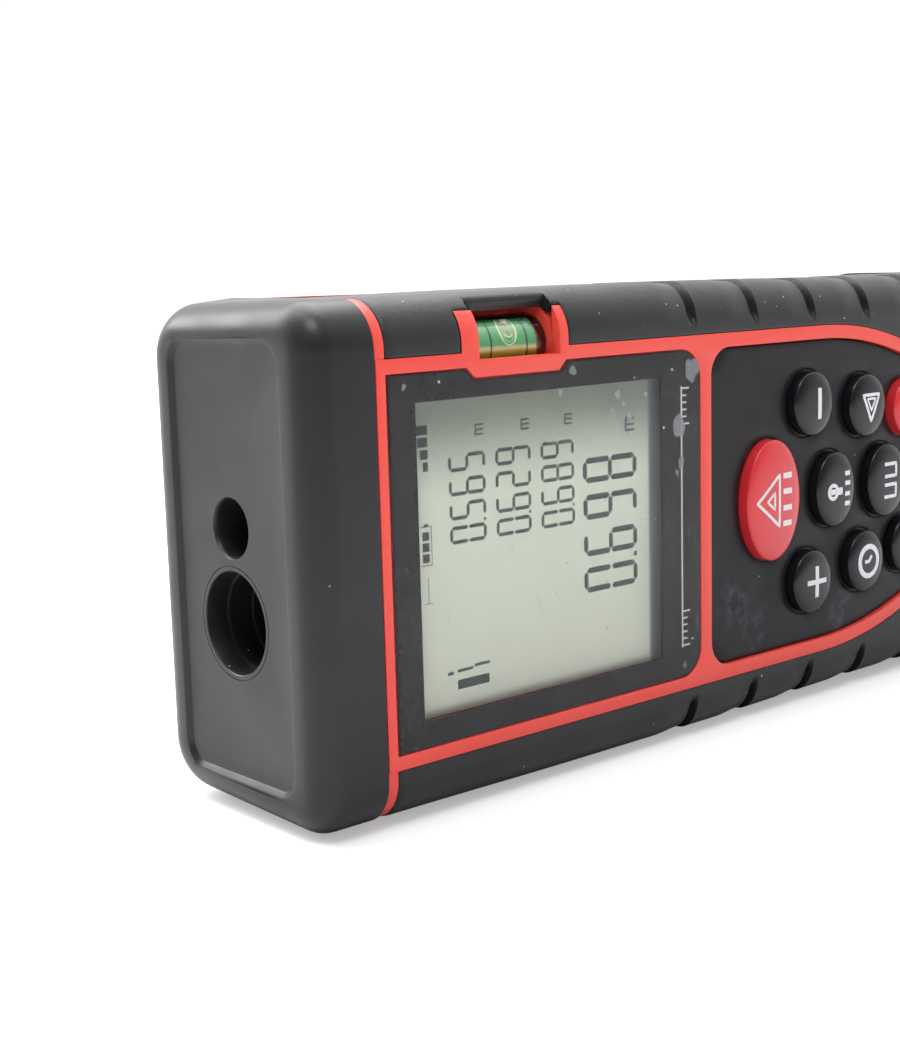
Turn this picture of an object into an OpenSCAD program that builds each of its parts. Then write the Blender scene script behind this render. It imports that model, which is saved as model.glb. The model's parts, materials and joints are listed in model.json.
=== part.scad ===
// Hand-held laser distance meter, standing on its left long side.
// Local axes: x runs from the nose face to the tail, y from the display face to
// the back, z across the body with zero on its centre line. in_frame() moves them
// to the part's own frame, whose origin is under the middle of the meter.

/* [Body] */
// Overall length, from the nose face to the tail
body_l = 115; // [113:0.5:118]
// Width across the two side grips
body_w = 48; // [47.6:0.1:49]
// Thickness, from the display face to the back
body_t = 26.2; // [26:0.1:27]
// Radius of the long edges on the display side
front_r = 4.5; // [4:0.1:5]
// Radius of the long edges at the back
back_r = 5; // [4.5:0.1:5.5]
// Thickness of the shell walls
wall = 1.8; // [1.5:0.1:2]
// Thickness of the rubber skins over the shells
skin = 1.2; // [1:0.1:1.3]
// Distance of the joint between the two shells from the display face
part_y = 13; // [12.6:0.1:13.4]

/* [Nose] */
// Length of the black nose cap
nose_l = 7.3; // [7:0.1:8]
// Half the width of the nose cap and the red shells
nose_half = 23.6; // [23.4:0.1:23.8]
// Radius of the rim round the nose face
nose_edge_r = 3; // [2.5:0.1:3.5]
// Width of the red stripe behind the nose cap
stripe_w = 1.05; // [0.9:0.05:1.2]
// Depth of the sunk panel in the nose face
panel_depth = 0.45; // [0.3:0.05:0.6]
// Radius of the laser's exit hole
laser_r = 2.84; // [2.6:0.02:3]
// Height of the laser's exit hole over the centre line
laser_z = 3.26; // [3:0.02:3.5]
// Radius of the receiver's hole
receiver_r = 4.85; // [4.6:0.05:5]
// Height of the receiver's hole over the centre line
receiver_z = -5.47; // [-5.7:0.01:-5.3]
// Distance of both holes from the display face
optic_y = 13.2; // [12.8:0.1:13.4]

/* [Display] */
// Distance of the window's rear edge from the nose face
window_x1 = 49.3; // [49:0.1:49.6]
// Half the width of the window
window_half = 16.95; // [16.8:0.05:17.1]
// Thickness of the window
window_t = 1; // [0.8:0.1:1.1]
// Half the width of the liquid crystal glass
lcd_half = 14.55; // [14.4:0.05:14.6]

/* [Keypad] */
// Distance of the keypad's front edge from the nose face
pad_x0 = 51.06; // [51:0.02:51.4]
// Half the width of the keypad
pad_half = 16.8; // [16.6:0.1:17]
// Width of the red band round the window and the keypad
band_w = 1.5; // [1.3:0.1:1.6]
// Distance that the keypad lies below the display face
pad_sunk = 0.4; // [0.3:0.05:0.5]
// How far the keys stand proud of the display face
key_proud = 1; // [0.8:0.1:1.2]
// Gap round each key
key_gap = 0.2; // [0.15:0.01:0.25]
// Travel of each key
key_travel = 0.8; // [0.6:0.1:0.9]

/* [Bubble level] */
// Distance of the vial's middle from the nose face
vial_x = 24.3; // [24.2:0.1:24.4]
// Length of the vial
vial_l = 9.8; // [9.6:0.1:10]
// Radius of the vial
vial_r = 2.9; // [2.8:0.05:2.95]
// Height of the vial's axis over the centre line
vial_z = 18.6; // [18.5:0.1:18.7]
// Distance of the vial's axis from the display face
vial_y = 4.1; // [4:0.1:4.2]

/* [Grips] */
// Distance of the first groove from the nose face
groove_x0 = 50; // [49:0.5:51]
// Distance from each groove to the next
groove_pitch = 9.85; // [9.6:0.05:10]
// Depth of the grooves
groove_depth = 0.9; // [0.6:0.1:1]
// Slant of the grooves, in degrees from square
groove_slant = 16; // [10:1:20]
// Number of grooves in each grip
groove_count = 5; // [3:1:5]

/* [Battery] */
// Radius of a battery cell
cell_r = 5.2; // [5.1:0.05:5.25]
// Length of a battery cell, with its nub
cell_l = 44.5; // [44:0.1:44.6]
// Half the width of the battery cover
cover_half = 12.4; // [12.2:0.1:12.6]

/* [Hidden] */
$fn = 48;

eps = 0.01;
far = 60;
grip_half = body_w / 2;
stripe_x1 = nose_l + stripe_w;
tail_x0 = body_l - 11;
tail_r = 9;
tail_edge_r = 4.5;
mid_y = (body_t - key_proud) / 2;
inner = skin + wall;
bulkhead_x = stripe_x1 + 1.3;
cavity_x1 = tail_x0 - 1.4;

// Side strip of red that shows between each grip and the back pad
strip_y0 = 20.6;
strip_y1 = 22.4;

// Sunk panel in the nose face
panel_y0 = 4.3;
panel_y1 = 21.8;
panel_half = 20.3;
panel_r = 2.5;

// Window, its notch under the vial and the liquid crystal display behind it
notch_x0 = 17.6;
notch_x1 = 30.2;
notch_depth = 0.95;
lcd_x0 = 10.6;
lcd_x1 = 47;
lcd_y0 = 1.3;
lcd_y1 = 2.9;
holder_y1 = 5.2;

// Keypad outline: straight sides, long arcs and a round end that they meet
arc_x = 70;
arc_r = 47;
end_r = 12;
arc_off = arc_r - pad_half;
end_x = arc_x + sqrt(pow(arc_r - end_r, 2) - pow(arc_off, 2));
end_cos = (end_x - arc_x) / (arc_r - end_r);
pad_t = 1.2;
pad_y1 = pad_sunk + pad_t;
ledge = 1.2;

// Keys: distance from the nose, offset across the body, and both half sizes
measure_key = [60.4, 0, 4.65, 6.55];
minus_key = [67.3, 9.9, 3.5, 3.5];
plus_key = [67.3, -9.9, 3.5, 3.5];
light_key = [71.4, 0, 3.6, 4.2];
angle_key = [77.2, 8.95, 3.5, 3.5];
history_key = [77.2, -8.95, 3.5, 3.5];
area_key = [81.1, 0, 3.75, 4.2];
off_key = [85.6, 8.1, 3.35, 3.35];
reference_key = [85.6, -8.1, 3.35, 3.35];
ALL_KEYS = [measure_key, minus_key, plus_key, light_key, angle_key, history_key,
    area_key, off_key, reference_key];
flange_w = 0.5;
flange_y0 = pad_y1 + 0.25;
flange_t = 0.6;
stem_r = 1.5;
stem_y1 = 3.3;
dome_y = 0.2;

// Printed circuit board and what stands on it
pcb_y0 = 5.3;
pcb_t = 1;
pcb_y1 = pcb_y0 + pcb_t;
pcb_half = 20;
pcb_x0 = bulkhead_x + 0.8;
pcb_x1 = cavity_x1 - 1;
switch_y0 = stem_y1 + key_travel + 0.2;
switch_base_y0 = 4.6;
pcb_post = [58, 17.8];
pcb_post_r = 1.8;

// Vial well: the pocket in the front shell and its frame
well_wall = 0.8;
well_x0 = vial_x - vial_l / 2 - 0.2;
well_x1 = vial_x + vial_l / 2 + 0.2;
well_z0 = vial_z - vial_r - 0.1;
well_y1 = vial_y + vial_r + 0.2;
sill_z = 17.6;
sill_y = 1.1;
frame_x0 = 17.1;
frame_x1 = 30.5;
frame_z0 = 15.95;
// Where the frame's legs end, and where the grip's lip over the vial starts
leg_y = 1.1;
lip_y = 1.9;

// Case screws
screw_spots = [[14, 18.6], [14, -18.6], [97, 17.9], [97, -17.9]];
boss_r = 2.4;
pilot_r = 0.95;
screw_hole_r = 1.15;
screw_head_r = 2;
screw_pocket_r = 2.3;
screw_seat_y = 21.5;

// Battery bay and cover
bay_x0 = 54;
bay_x1 = bay_x0 + cell_l + 3;
bay_half = 11.2;
bay_floor_y = 13.2;
bay_wall = 1.2;
cell_y = bay_floor_y + cell_r + 0.1;
cell_z = cell_r + 0.3;
cover_t = 1.7;
cover_x0 = bay_x0 - 0.4;
cover_x1 = bay_x1 + 0.3;
cover_gap = 0.2;
cover_y0 = body_t - cover_t;
cover_r = cover_t / 2;
hook_l = 1.4;
hook_z = 7;

// Optical block
block_x0 = bulkhead_x + 0.3;
block_x1 = 40;
block_y0 = pcb_y1 + 0.3;
block_y1 = 19.4;
lens_x0 = 13;
lens_t = 3;
lens_r = 5.5;
filter_x0 = 34;
filter_r = 3;
barrel_r = 3;
barrel_x0 = 11;
barrel_l = 18;

// Strap hole through the tail
strap_x = 107.5;
strap_z = -16.5;
strap_r = 1.6;

// ---- frame and drawing helpers ----

// Moves the local axes to the part's own frame
module in_frame() {
    translate([-body_l / 2, -mid_y, grip_half]) children();
}

// Extrudes a depth-and-width outline along the body
module along_x(x0, x1) {
    translate([x0, 0, 0]) rotate([90, 0, 90]) linear_extrude(x1 - x0) children();
}

// Extrudes a length-and-width outline through the body
module plate(y0, y1) {
    translate([0, y1, 0]) rotate([90, 0, 0]) linear_extrude(y1 - y0) children();
}

// A round post or hole through the body
module post(x, z, r, y0, y1) {
    translate([x, y0, z]) rotate([-90, 0, 0]) cylinder(r = r, h = y1 - y0);
}

// A round barrel or hole along the body
module barrel(y, z, r, x0, x1) {
    translate([x0, y, z]) rotate([0, 90, 0]) cylinder(r = r, h = x1 - x0);
}

// A block given by its two end planes along each axis
module block(x0, x1, y0, y1, z0, z1) {
    translate([x0, y0, z0]) cube([x1 - x0, y1 - y0, z1 - z0]);
}

// Keeps what lies on the display side or the back side of the shells' joint
module display_half() {
    intersection() {
        children();
        block(0, body_l, -far, part_y, -far, far);
    }
}

module back_half() {
    intersection() {
        children();
        block(0, body_l, part_y, far, -far, far);
    }
}

// Cross-section of the body: a rectangle with its own radius at each pair of corners
module rounded_section(half, y0, y1, rf, rb) {
    translate([y0 + rf, -half]) square([y1 - y0 - rf - rb, 2 * half]);
    translate([y0, rf - half]) square([2 * rf, 2 * (half - rf)]);
    translate([y1 - 2 * rb, rb - half]) square([2 * rb, 2 * (half - rb)]);
    for (side = [-1, 1]) {
        translate([y0 + rf, side * (half - rf)]) circle(r = rf);
        translate([y1 - rb, side * (half - rb)]) circle(r = rb);
    }
}

module section(half, inset = 0) {
    rounded_section(half - inset, inset, body_t - inset, front_r - inset, back_r - inset);
}

// A rectangle with round corners, centred across the body
module round_rect(x0, x1, half, r) {
    translate([x0, r - half]) square([x1 - x0, 2 * (half - r)]);
    translate([x0 + r, -half]) square([x1 - x0 - 2 * r, 2 * half]);
    for (x = [x0 + r, x1 - r], side = [-1, 1])
        translate([x, side * (half - r)]) circle(r = r);
}

// Outline of the keypad, grown by d
module pad_outline(d = 0) {
    r = 2.8 + d;
    translate([pad_x0 - d, r - pad_half - d]) square([r, 2 * (pad_half + d - r)]);
    translate([pad_x0 - d + r, -pad_half - d]) square([arc_x - pad_x0 + d - r, 2 * (pad_half + d)]);
    for (side = [-1, 1])
        translate([pad_x0 - d + r, side * (pad_half + d - r)]) circle(r = r);
    intersection() {
        translate([arc_x, -arc_off]) circle(r = arc_r + d);
        translate([arc_x, arc_off]) circle(r = arc_r + d);
        translate([arc_x, -far]) square([end_cos * (arc_r + d), 2 * far]);
    }
    translate([end_x, 0]) circle(r = end_r + d);
}

// Outline of the red band's outer edge
module band_outline() {
    translate([nose_l, -pad_half - band_w]) square([arc_x - nose_l, 2 * (pad_half + band_w)]);
    pad_outline(band_w);
}

// Outline of the window, grown by d, with the notch that clears the vial's frame
module window_outline(d = 0) {
    difference() {
        union() {
            translate([stripe_x1 - d, -window_half - d])
                square([window_x1 - stripe_x1 - 3 + d, 2 * (window_half + d)]);
            round_rect(window_x1 - 10, window_x1 + d, window_half + d, 3);
        }
        polygon([[notch_x0 + d, far], [notch_x0 + d, window_half + d],
            [notch_x0 + notch_depth + d, window_half - notch_depth + d],
            [notch_x1 - notch_depth - d, window_half - notch_depth + d],
            [notch_x1 - d, window_half + d], [notch_x1 - d, far]]);
    }
}

// An ellipse drawn point by point
module oval(a, b) {
    polygon([for (t = [0 : 10 : 350]) [a * cos(t), b * sin(t)]]);
}

// Outline of a key at its place, grown by d
module key_outline(key, d = 0) {
    translate([key[0], key[1]])
        if (key[2] == key[3]) circle(r = key[2] + d);
        else oval(key[2] + d, key[3] + d);
}

// A disc with a rounded rim, used for rounding a corner in two directions
module rimmed_disc(r, edge) {
    rotate_extrude($fn = 32) intersection() {
        translate([r - edge, 0]) circle(r = edge, $fn = 32);
        translate([0, -edge]) square([r, 2 * edge]);
    }
}

// ---- outer pieces ----

module nose_blank() {
    hull() {
        for (side = [-1, 1]) {
            translate([nose_edge_r, front_r, side * (nose_half - front_r)])
                rotate([0, 90, 0]) rimmed_disc(front_r, nose_edge_r);
            translate([nose_edge_r, body_t - back_r, side * (nose_half - back_r)])
                rotate([0, 90, 0]) rimmed_disc(back_r, nose_edge_r);
        }
        along_x(nose_l - eps, nose_l) section(nose_half);
    }
}

module nose_cap() {
    color("#3a3a3d") in_frame() difference() {
        union() {
            difference() {
                nose_blank();
                along_x(2.2, nose_l + 1) section(nose_half, 2);
            }
            barrel(optic_y, receiver_z, receiver_r + 1.2, 1, nose_l);
            barrel(optic_y, laser_z, laser_r + 1.2, 1, nose_l);
        }
        along_x(-1, panel_depth) rounded_section(panel_half, panel_y0, panel_y1, panel_r, panel_r);
        barrel(optic_y, receiver_z, receiver_r, -1, nose_l + 1);
        barrel(optic_y, laser_z, laser_r, -1, nose_l + 1);
    }
}

// Light way through the bulkhead behind the nose cap
module bulkhead_gap() {
    block(nose_l - 1, bulkhead_x + 1, optic_y - 6.2, optic_y + 6.2, receiver_z - 6.2, laser_z + 4.2);
}

// Frame of the vial: its legs show on the body's corner, and the rest lies under the grip
module vial_frame() {
    intersection() {
        along_x(frame_x0, frame_x1) section(nose_half);
        block(frame_x0, frame_x1, -1, leg_y, frame_z0, far);
    }
    intersection() {
        along_x(frame_x0, frame_x1) section(nose_half, skin);
        union() {
            block(frame_x0, frame_x1, -1, well_y1 + 1.2, frame_z0, far);
            block(well_x0 - well_wall, well_x1 + well_wall, skin, well_y1 + 1.2, well_z0 - well_wall, far);
        }
    }
}

module vial_pocket() {
    difference() {
        block(well_x0, well_x1, -far, well_y1, well_z0, far);
        block(well_x0 - 1, well_x1 + 1, -far, sill_y, -far, sill_z);
    }
}

module front_shell() {
    color("#e8564c") in_frame() difference() {
        union() {
            display_half() difference() {
                union() {
                    along_x(nose_l, stripe_x1) section(nose_half, 0.15);
                    along_x(stripe_x1, tail_x0) section(nose_half, skin);
                    plate(0, skin + eps) band_outline();
                }
                along_x(bulkhead_x, cavity_x1) section(nose_half, inner);
                plate(-1, inner + 1) round_rect(lcd_x0 - 0.2, lcd_x1 + 1.2, lcd_half + 0.15, 0.5);
                plate(-1, pad_y1 + 0.02) pad_outline(0.05);
                plate(-1, inner + 1) pad_outline(-ledge);
                bulkhead_gap();
            }
            vial_frame();
            for (spot = screw_spots) post(spot[0], spot[1], boss_r, inner - 0.5, part_y);
            for (side = [-1, 1])
                post(pcb_post[0], side * pcb_post[1], pcb_post_r, inner - 0.5, pcb_y0);
        }
        plate(-1, window_t + 0.05) window_outline(0.05);
        vial_pocket();
        for (spot = screw_spots) post(spot[0], spot[1], pilot_r, 5, part_y + 1);
        for (side = [-1, 1]) post(pcb_post[0], side * pcb_post[1], 0.7, inner, pcb_y0 + 1);
    }
}

// Outline of the battery cover, square at the front, where it turns
module cover_outline(d = 0) {
    round_rect(cover_x0 - d, cover_x1 + d, cover_half + d, 1.5);
    translate([cover_x0 - d, -cover_half - d]) square([5, 2 * (cover_half + d)]);
}

module rear_shell() {
    color("#d94b43") in_frame() difference() {
        union() {
            back_half() difference() {
                union() {
                    along_x(nose_l, stripe_x1) section(nose_half, 0.15);
                    along_x(stripe_x1, tail_x0) section(nose_half, skin);
                    intersection() {
                        along_x(stripe_x1, tail_x0) section(nose_half, 0.1);
                        block(0, body_l, strip_y0, strip_y1, -far, far);
                    }
                }
                along_x(bulkhead_x, cavity_x1) section(nose_half, inner);
                bulkhead_gap();
            }
            block(bay_x0 - bay_wall, cavity_x1 - 0.05, bay_floor_y - bay_wall, body_t - inner + 1,
                -bay_half - bay_wall, bay_half + bay_wall);
            intersection() {
                for (spot = screw_spots) post(spot[0], spot[1], boss_r + 0.6, part_y, body_t - inner + 1);
                along_x(stripe_x1, tail_x0) section(nose_half, skin + 0.2);
            }
        }
        block(bay_x0, bay_x1, bay_floor_y, far, -bay_half, bay_half);
        plate(cover_y0 - 0.1, far) cover_outline(cover_gap);
        // Room under the shell's edge for the cover's hooks
        block(cover_x0 - hook_l - 1, cover_x0 + 2, cover_y0 - 4.2, cover_y0 - 0.1,
            -hook_z - 2.5, hook_z + 2.5);
        for (spot = screw_spots) {
            post(spot[0], spot[1], screw_hole_r, part_y - 1, far);
            post(spot[0], spot[1], screw_pocket_r, screw_seat_y, far);
        }
    }
}

// Slanted grooves that divide the grips into overlapping scales
module grip_grooves() {
    difference() {
        for (i = [0 : groove_count - 1]) {
            translate([groove_x0 + i * groove_pitch, 0, 0]) rotate([0, 0, -groove_slant])
                translate([0, -5, -far]) cube([1.1, 30, 2 * far]);
        }
        along_x(0, body_l) rounded_section(grip_half - groove_depth, 0, body_t, 6, back_r);
    }
}

// Both grips at once: a skin over the sides that laps on to the display face
module grips() {
    difference() {
        along_x(stripe_x1, tail_x0) rounded_section(grip_half, 0, body_t, front_r, back_r);
        along_x(0, body_l) section(nose_half, skin);
        plate(-1, skin) band_outline();
        block(0, body_l, strip_y0, far, -far, far);
        block(frame_x0, frame_x1, -1, leg_y, frame_z0, far);
        block(well_x0, well_x1, -1, lip_y, frame_z0, far);
        grip_grooves();
        // Lead-in behind the red stripe
        for (side = [-1, 1])
            translate([stripe_x1, 0, side * (nose_half + 3)]) rotate([0, -side * 6, 0])
                cube([20, far, 6], center = true);
    }
}

module right_grip() {
    color("#2f2f32") in_frame() intersection() {
        grips();
        block(0, body_l, -far, far, 0, far);
    }
}

module left_grip() {
    color("#2f2f32") in_frame() intersection() {
        grips();
        block(0, body_l, -far, far, -far, 0);
    }
}

module tail_cap() {
    color("#2f2f32") in_frame() difference() {
        hull() {
            for (side = [-1, 1], y = [tail_edge_r, body_t - tail_edge_r])
                translate([body_l - tail_r, y, side * (grip_half - tail_r)])
                    rotate([90, 0, 0]) rimmed_disc(tail_r, tail_edge_r);
            along_x(tail_x0, tail_x0 + eps) rounded_section(grip_half, 0, body_t, front_r, back_r);
        }
        block(0, tail_x0, -1, far, -far, far);
        difference() {
            plate(2.2, body_t - 2.2) round_rect(tail_x0 - 5, body_l - 2.2, grip_half - 2.5, 5);
            post(strap_x, strap_z, strap_r + 1.6, 0, body_t);
        }
        post(strap_x, strap_z, strap_r, -1, body_t + 1);
    }
}

module back_pad() {
    color("#2f2f32") in_frame() difference() {
        intersection() {
            along_x(stripe_x1, tail_x0) section(nose_half);
            block(0, body_l, strip_y1, far, -far, far);
        }
        along_x(0, body_l) section(nose_half, skin);
        plate(0, far) cover_outline(cover_gap);
        plate(body_t - 0.3, far) round_rect(18, 48, 14, 1.5);
        for (spot = screw_spots) post(spot[0], spot[1], screw_pocket_r, 0, far);
    }
}

module back_label() {
    color("#c9c9c6") in_frame() plate(body_t - 0.3, body_t - 0.1) round_rect(18.2, 47.8, 13.8, 1.3);
}

// ---- display ----

module display_window() {
    color("#4a4b4e") in_frame() plate(0.02, window_t + 0.02) window_outline();
}

module lcd_glass() {
    color("#b4bca8") in_frame() block(lcd_x0, lcd_x1, lcd_y0, lcd_y1, -lcd_half, lcd_half);
}

module lcd_holder() {
    color("#e6e6e2") in_frame() difference() {
        block(lcd_x0, lcd_x1, lcd_y1 + 0.05, holder_y1, -lcd_half, lcd_half);
        block(lcd_x0 + 1, lcd_x1 - 1, lcd_y1 - 1, holder_y1 + 1, 1 - lcd_half, lcd_half - 1);
    }
}

module lcd_backlight() {
    color("#f4f6ee") in_frame() block(lcd_x0 + 1.1, lcd_x1 - 1.1, lcd_y1 + 0.1, lcd_y1 + 1.9,
        1.1 - lcd_half, lcd_half - 1.1);
}

module lcd_ribbon() {
    color("#b07a35") in_frame() {
        block(lcd_x1 + 0.1, lcd_x1 + 0.35, lcd_y0 + 0.2, pcb_y0, -9, 9);
        block(lcd_x1 + 0.1, lcd_x1 + 2.6, pcb_y0 - 0.25, pcb_y0, -9, 9);
    }
}

// ---- keypad ----

module keypad_panel() {
    color("#2b2b2e") in_frame() plate(pad_sunk, pad_y1) difference() {
        pad_outline();
        for (key = ALL_KEYS) key_outline(key, key_gap);
    }
}

// A key: domed cap, shaft, retaining flange behind the panel, and stem
module key_body(key) {
    cap_h = key_proud + dome_y;
    if (key[2] == key[3]) {
        dome_r = (pow(key[2], 2) + pow(key_proud, 2)) / (2 * key_proud);
        intersection() {
            translate([key[0], dome_r - key_proud, key[1]]) sphere(r = dome_r);
            post(key[0], key[1], key[2], -key_proud - 1, dome_y);
        }
    } else {
        hull() for (t = [0 : 22.5 : 90])
            plate(dome_y - cap_h * sin(t), dome_y - cap_h * sin(t) + eps)
                translate([key[0], key[1]]) scale(0.15 + 0.85 * cos(t)) oval(key[2], key[3]);
    }
    plate(dome_y, flange_y0 + eps) key_outline(key);
    plate(flange_y0, flange_y0 + flange_t) key_outline(key, flange_w);
    post(key[0], key[1], stem_r, flange_y0 + flange_t - eps, stem_y1);
}

module key_measure() {
    color("#e04a50") in_frame() key_body(measure_key);
}

module key_minus() {
    color("#232326") in_frame() key_body(minus_key);
}

module key_plus() {
    color("#232326") in_frame() key_body(plus_key);
}

module key_light() {
    color("#232326") in_frame() key_body(light_key);
}

module key_angle() {
    color("#232326") in_frame() key_body(angle_key);
}

module key_history() {
    color("#232326") in_frame() key_body(history_key);
}

module key_area() {
    color("#232326") in_frame() key_body(area_key);
}

module key_off() {
    color("#e04a50") in_frame() key_body(off_key);
}

module key_reference() {
    color("#232326") in_frame() key_body(reference_key);
}

module key_switches() {
    color("#c8c8cc") in_frame() for (key = ALL_KEYS) {
        block(key[0] - 2, key[0] + 2, switch_base_y0, pcb_y0, key[1] - 2, key[1] + 2);
        post(key[0], key[1], 1, switch_y0, switch_base_y0 + eps);
    }
}

// ---- electronics ----

module main_pcb() {
    color("#1f6b3a") in_frame() difference() {
        plate(pcb_y0, pcb_y1) round_rect(pcb_x0, pcb_x1, pcb_half, 2);
        block(frame_x0 - 0.4, frame_x1 + 0.4, 0, far, well_z0 - 1.4, far);
        for (spot = screw_spots) post(spot[0], spot[1], boss_r + 0.3, 0, far);
        for (side = [-1, 1]) post(pcb_post[0], side * pcb_post[1], 0.9, 0, far);
    }
}

module pcb_chips() {
    color("#18181a") in_frame() {
        block(58, 68, pcb_y1, pcb_y1 + 1.4, -6, 4);
        block(72, 79, pcb_y1, pcb_y1 + 1.2, -12, -5);
        block(72, 78, pcb_y1, pcb_y1 + 1, 3, 10);
        block(45, 50, pcb_y1, pcb_y1 + 2.6, -16, -4);
        block(83, 87.5, pcb_y1, pcb_y1 + 2, -4, 1);
    }
}

module buzzer() {
    color("#202022") in_frame() difference() {
        post(92, 12, 4.5, pcb_y1, pcb_y1 + 3.2);
        post(92, 12, 0.8, pcb_y1 + 2, pcb_y1 + 4);
    }
}

// ---- optics ----

module optics_frame() {
    color("#303236") in_frame() difference() {
        union() {
            block(block_x0, block_x1, block_y0, block_y1, receiver_z - 6.4, receiver_z + 5.4);
            block(block_x0, barrel_x0 + barrel_l + 1, block_y0, block_y1, -1, laser_z + 4);
        }
        barrel(optic_y, receiver_z, receiver_r, 0, lens_x0 + eps);
        barrel(optic_y, receiver_z, lens_r + 0.02, lens_x0, lens_x0 + lens_t);
        barrel(optic_y, receiver_z, lens_r - 0.8, lens_x0 + lens_t - eps, filter_x0 - 6);
        barrel(optic_y, receiver_z, filter_r - 0.6, filter_x0 - 6 - eps, filter_x0 + eps);
        barrel(optic_y, receiver_z, filter_r + 0.02, filter_x0, filter_x0 + 1.05);
        barrel(optic_y, receiver_z, filter_r - 0.6, filter_x0 + 1, far);
        barrel(optic_y, laser_z, laser_r - 0.6, 0, barrel_x0 + eps);
        barrel(optic_y, laser_z, barrel_r + 0.02, barrel_x0, far);
    }
}

// Half of a lens's profile: an arc of the given radius on each face, turned about its axis
module lens(r, t, bulge_r) {
    rotate([0, 90, 0]) rotate_extrude($fn = 96) intersection() {
        square([r, t]);
        translate([0, bulge_r]) circle(r = bulge_r, $fn = 360);
        translate([0, t - bulge_r]) circle(r = bulge_r, $fn = 360);
    }
}

module receiver_lens() {
    color("#bcd2da", 0.5) in_frame() translate([lens_x0, optic_y, receiver_z]) lens(lens_r, lens_t, 14);
}

module receiver_filter() {
    color("#8a2f3a", 0.6) in_frame() barrel(optic_y, receiver_z, filter_r, filter_x0, filter_x0 + 1);
}

module receiver_board() {
    color("#1f6b3a") in_frame()
        block(block_x1 + 0.1, block_x1 + 1.1, block_y0, block_y1, receiver_z - 6.4, receiver_z + 5.4);
}

module photodiode() {
    color("#b9b9b4") in_frame() {
        barrel(optic_y, receiver_z, 2.2, block_x1 - 2.6, block_x1 - 0.2);
        barrel(optic_y, receiver_z, 1.2, block_x1 - 2.9, block_x1 - 2.6 + eps);
        barrel(optic_y, receiver_z, 0.8, block_x1 - 0.2 - eps, block_x1 + 0.1);
    }
}

module laser_barrel() {
    color("#c9a24b") in_frame() difference() {
        barrel(optic_y, laser_z, barrel_r, barrel_x0, barrel_x0 + barrel_l);
        barrel(optic_y, laser_z, 1.7, 0, barrel_x0 + 1.5);
        barrel(optic_y, laser_z, 2, barrel_x0 + 1.4, far);
    }
}

module laser_lens() {
    color("#bcd2da", 0.5) in_frame()
        translate([barrel_x0 + 1.5, optic_y, laser_z]) lens(1.95, 1.6, 4);
}

module laser_diode() {
    color("#b9b9b4") in_frame() {
        barrel(optic_y, laser_z, 1.9, barrel_x0 + barrel_l - 3, barrel_x0 + barrel_l - 1);
        for (t = [0 : 120 : 240])
            barrel(optic_y + 0.9 * cos(t), laser_z + 0.9 * sin(t), 0.22,
                barrel_x0 + barrel_l - 1 - eps, barrel_x0 + barrel_l + 3);
    }
}

// ---- bubble level ----

module vial_tube() {
    color("#cfe8a0", 0.4) in_frame() difference() {
        union() {
            barrel(vial_y, vial_z, vial_r, vial_x - vial_l / 2, vial_x + vial_l / 2 - 0.8);
            barrel(vial_y, vial_z, vial_r - 0.8, vial_x, vial_x + vial_l / 2);
            translate([vial_x + vial_l / 2 - 0.8, vial_y, vial_z]) rotate([0, 90, 0])
                rotate_extrude() translate([vial_r - 0.8, 0]) circle(r = 0.8);
        }
        barrel(vial_y, vial_z, vial_r - 0.6, 0, vial_x + vial_l / 2 - 1);
    }
}

module vial_liquid() {
    color("#7fc24a", 0.6) in_frame()
        barrel(vial_y, vial_z, vial_r - 0.62, vial_x - vial_l / 2 + 1, vial_x + vial_l / 2 - 1.02);
}

module vial_plug() {
    color("#2f2f32") in_frame()
        barrel(vial_y, vial_z, vial_r - 0.62, vial_x - vial_l / 2, vial_x - vial_l / 2 + 0.98);
}

// ---- battery bay ----

// A cell from its flat end to its nub; dir is 1 when the nub points to the tail
module cell(x_flat, dir, z) {
    translate([x_flat, cell_y, z]) rotate([0, dir * 90, 0]) {
        cylinder(r = cell_r - 0.3, h = 0.5);
        translate([0, 0, 0.4]) cylinder(r = cell_r, h = cell_l - 1.8);
        translate([0, 0, cell_l - 1.5]) cylinder(r = cell_r - 0.3, h = 0.5);
        translate([0, 0, cell_l - 1.1]) cylinder(r = 1.9, h = 1.1);
    }
}

module cell_a() {
    color("#d8b53a") in_frame() cell(bay_x0 + 0.5 + cell_l, -1, cell_z);
}

module cell_b() {
    color("#d8b53a") in_frame() cell(bay_x1 - 0.5 - cell_l, 1, -cell_z);
}

// Points of a ring of the spring wire, and the wire swept from ring to ring
spring_turns = 2.5;
spring_steps = 30;
spring_sides = 6;
wire_r = 0.28;
function spring_ring(i, h) = let (
    u = i / spring_steps, a = 360 * spring_turns * u, r = 3.4 - 1.5 * u)
    [for (k = [0 : spring_sides - 1]) let (b = 360 * k / spring_sides)
        [(r + wire_r * cos(b)) * cos(a), (r + wire_r * cos(b)) * sin(a),
            h * u + wire_r * sin(b)]];

module spring(h) {
    points = [for (i = [0 : spring_steps]) each spring_ring(i, h)];
    last = spring_steps * spring_sides;
    polyhedron(points, concat(
        [[for (k = [0 : spring_sides - 1]) k]],
        [[for (k = [spring_sides - 1 : -1 : 0]) last + k]],
        [for (i = [0 : spring_steps - 1], k = [0 : spring_sides - 1])
            [i * spring_sides + k, (i + 1) * spring_sides + k,
                (i + 1) * spring_sides + (k + 1) % spring_sides,
                i * spring_sides + (k + 1) % spring_sides]]));
}

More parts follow.
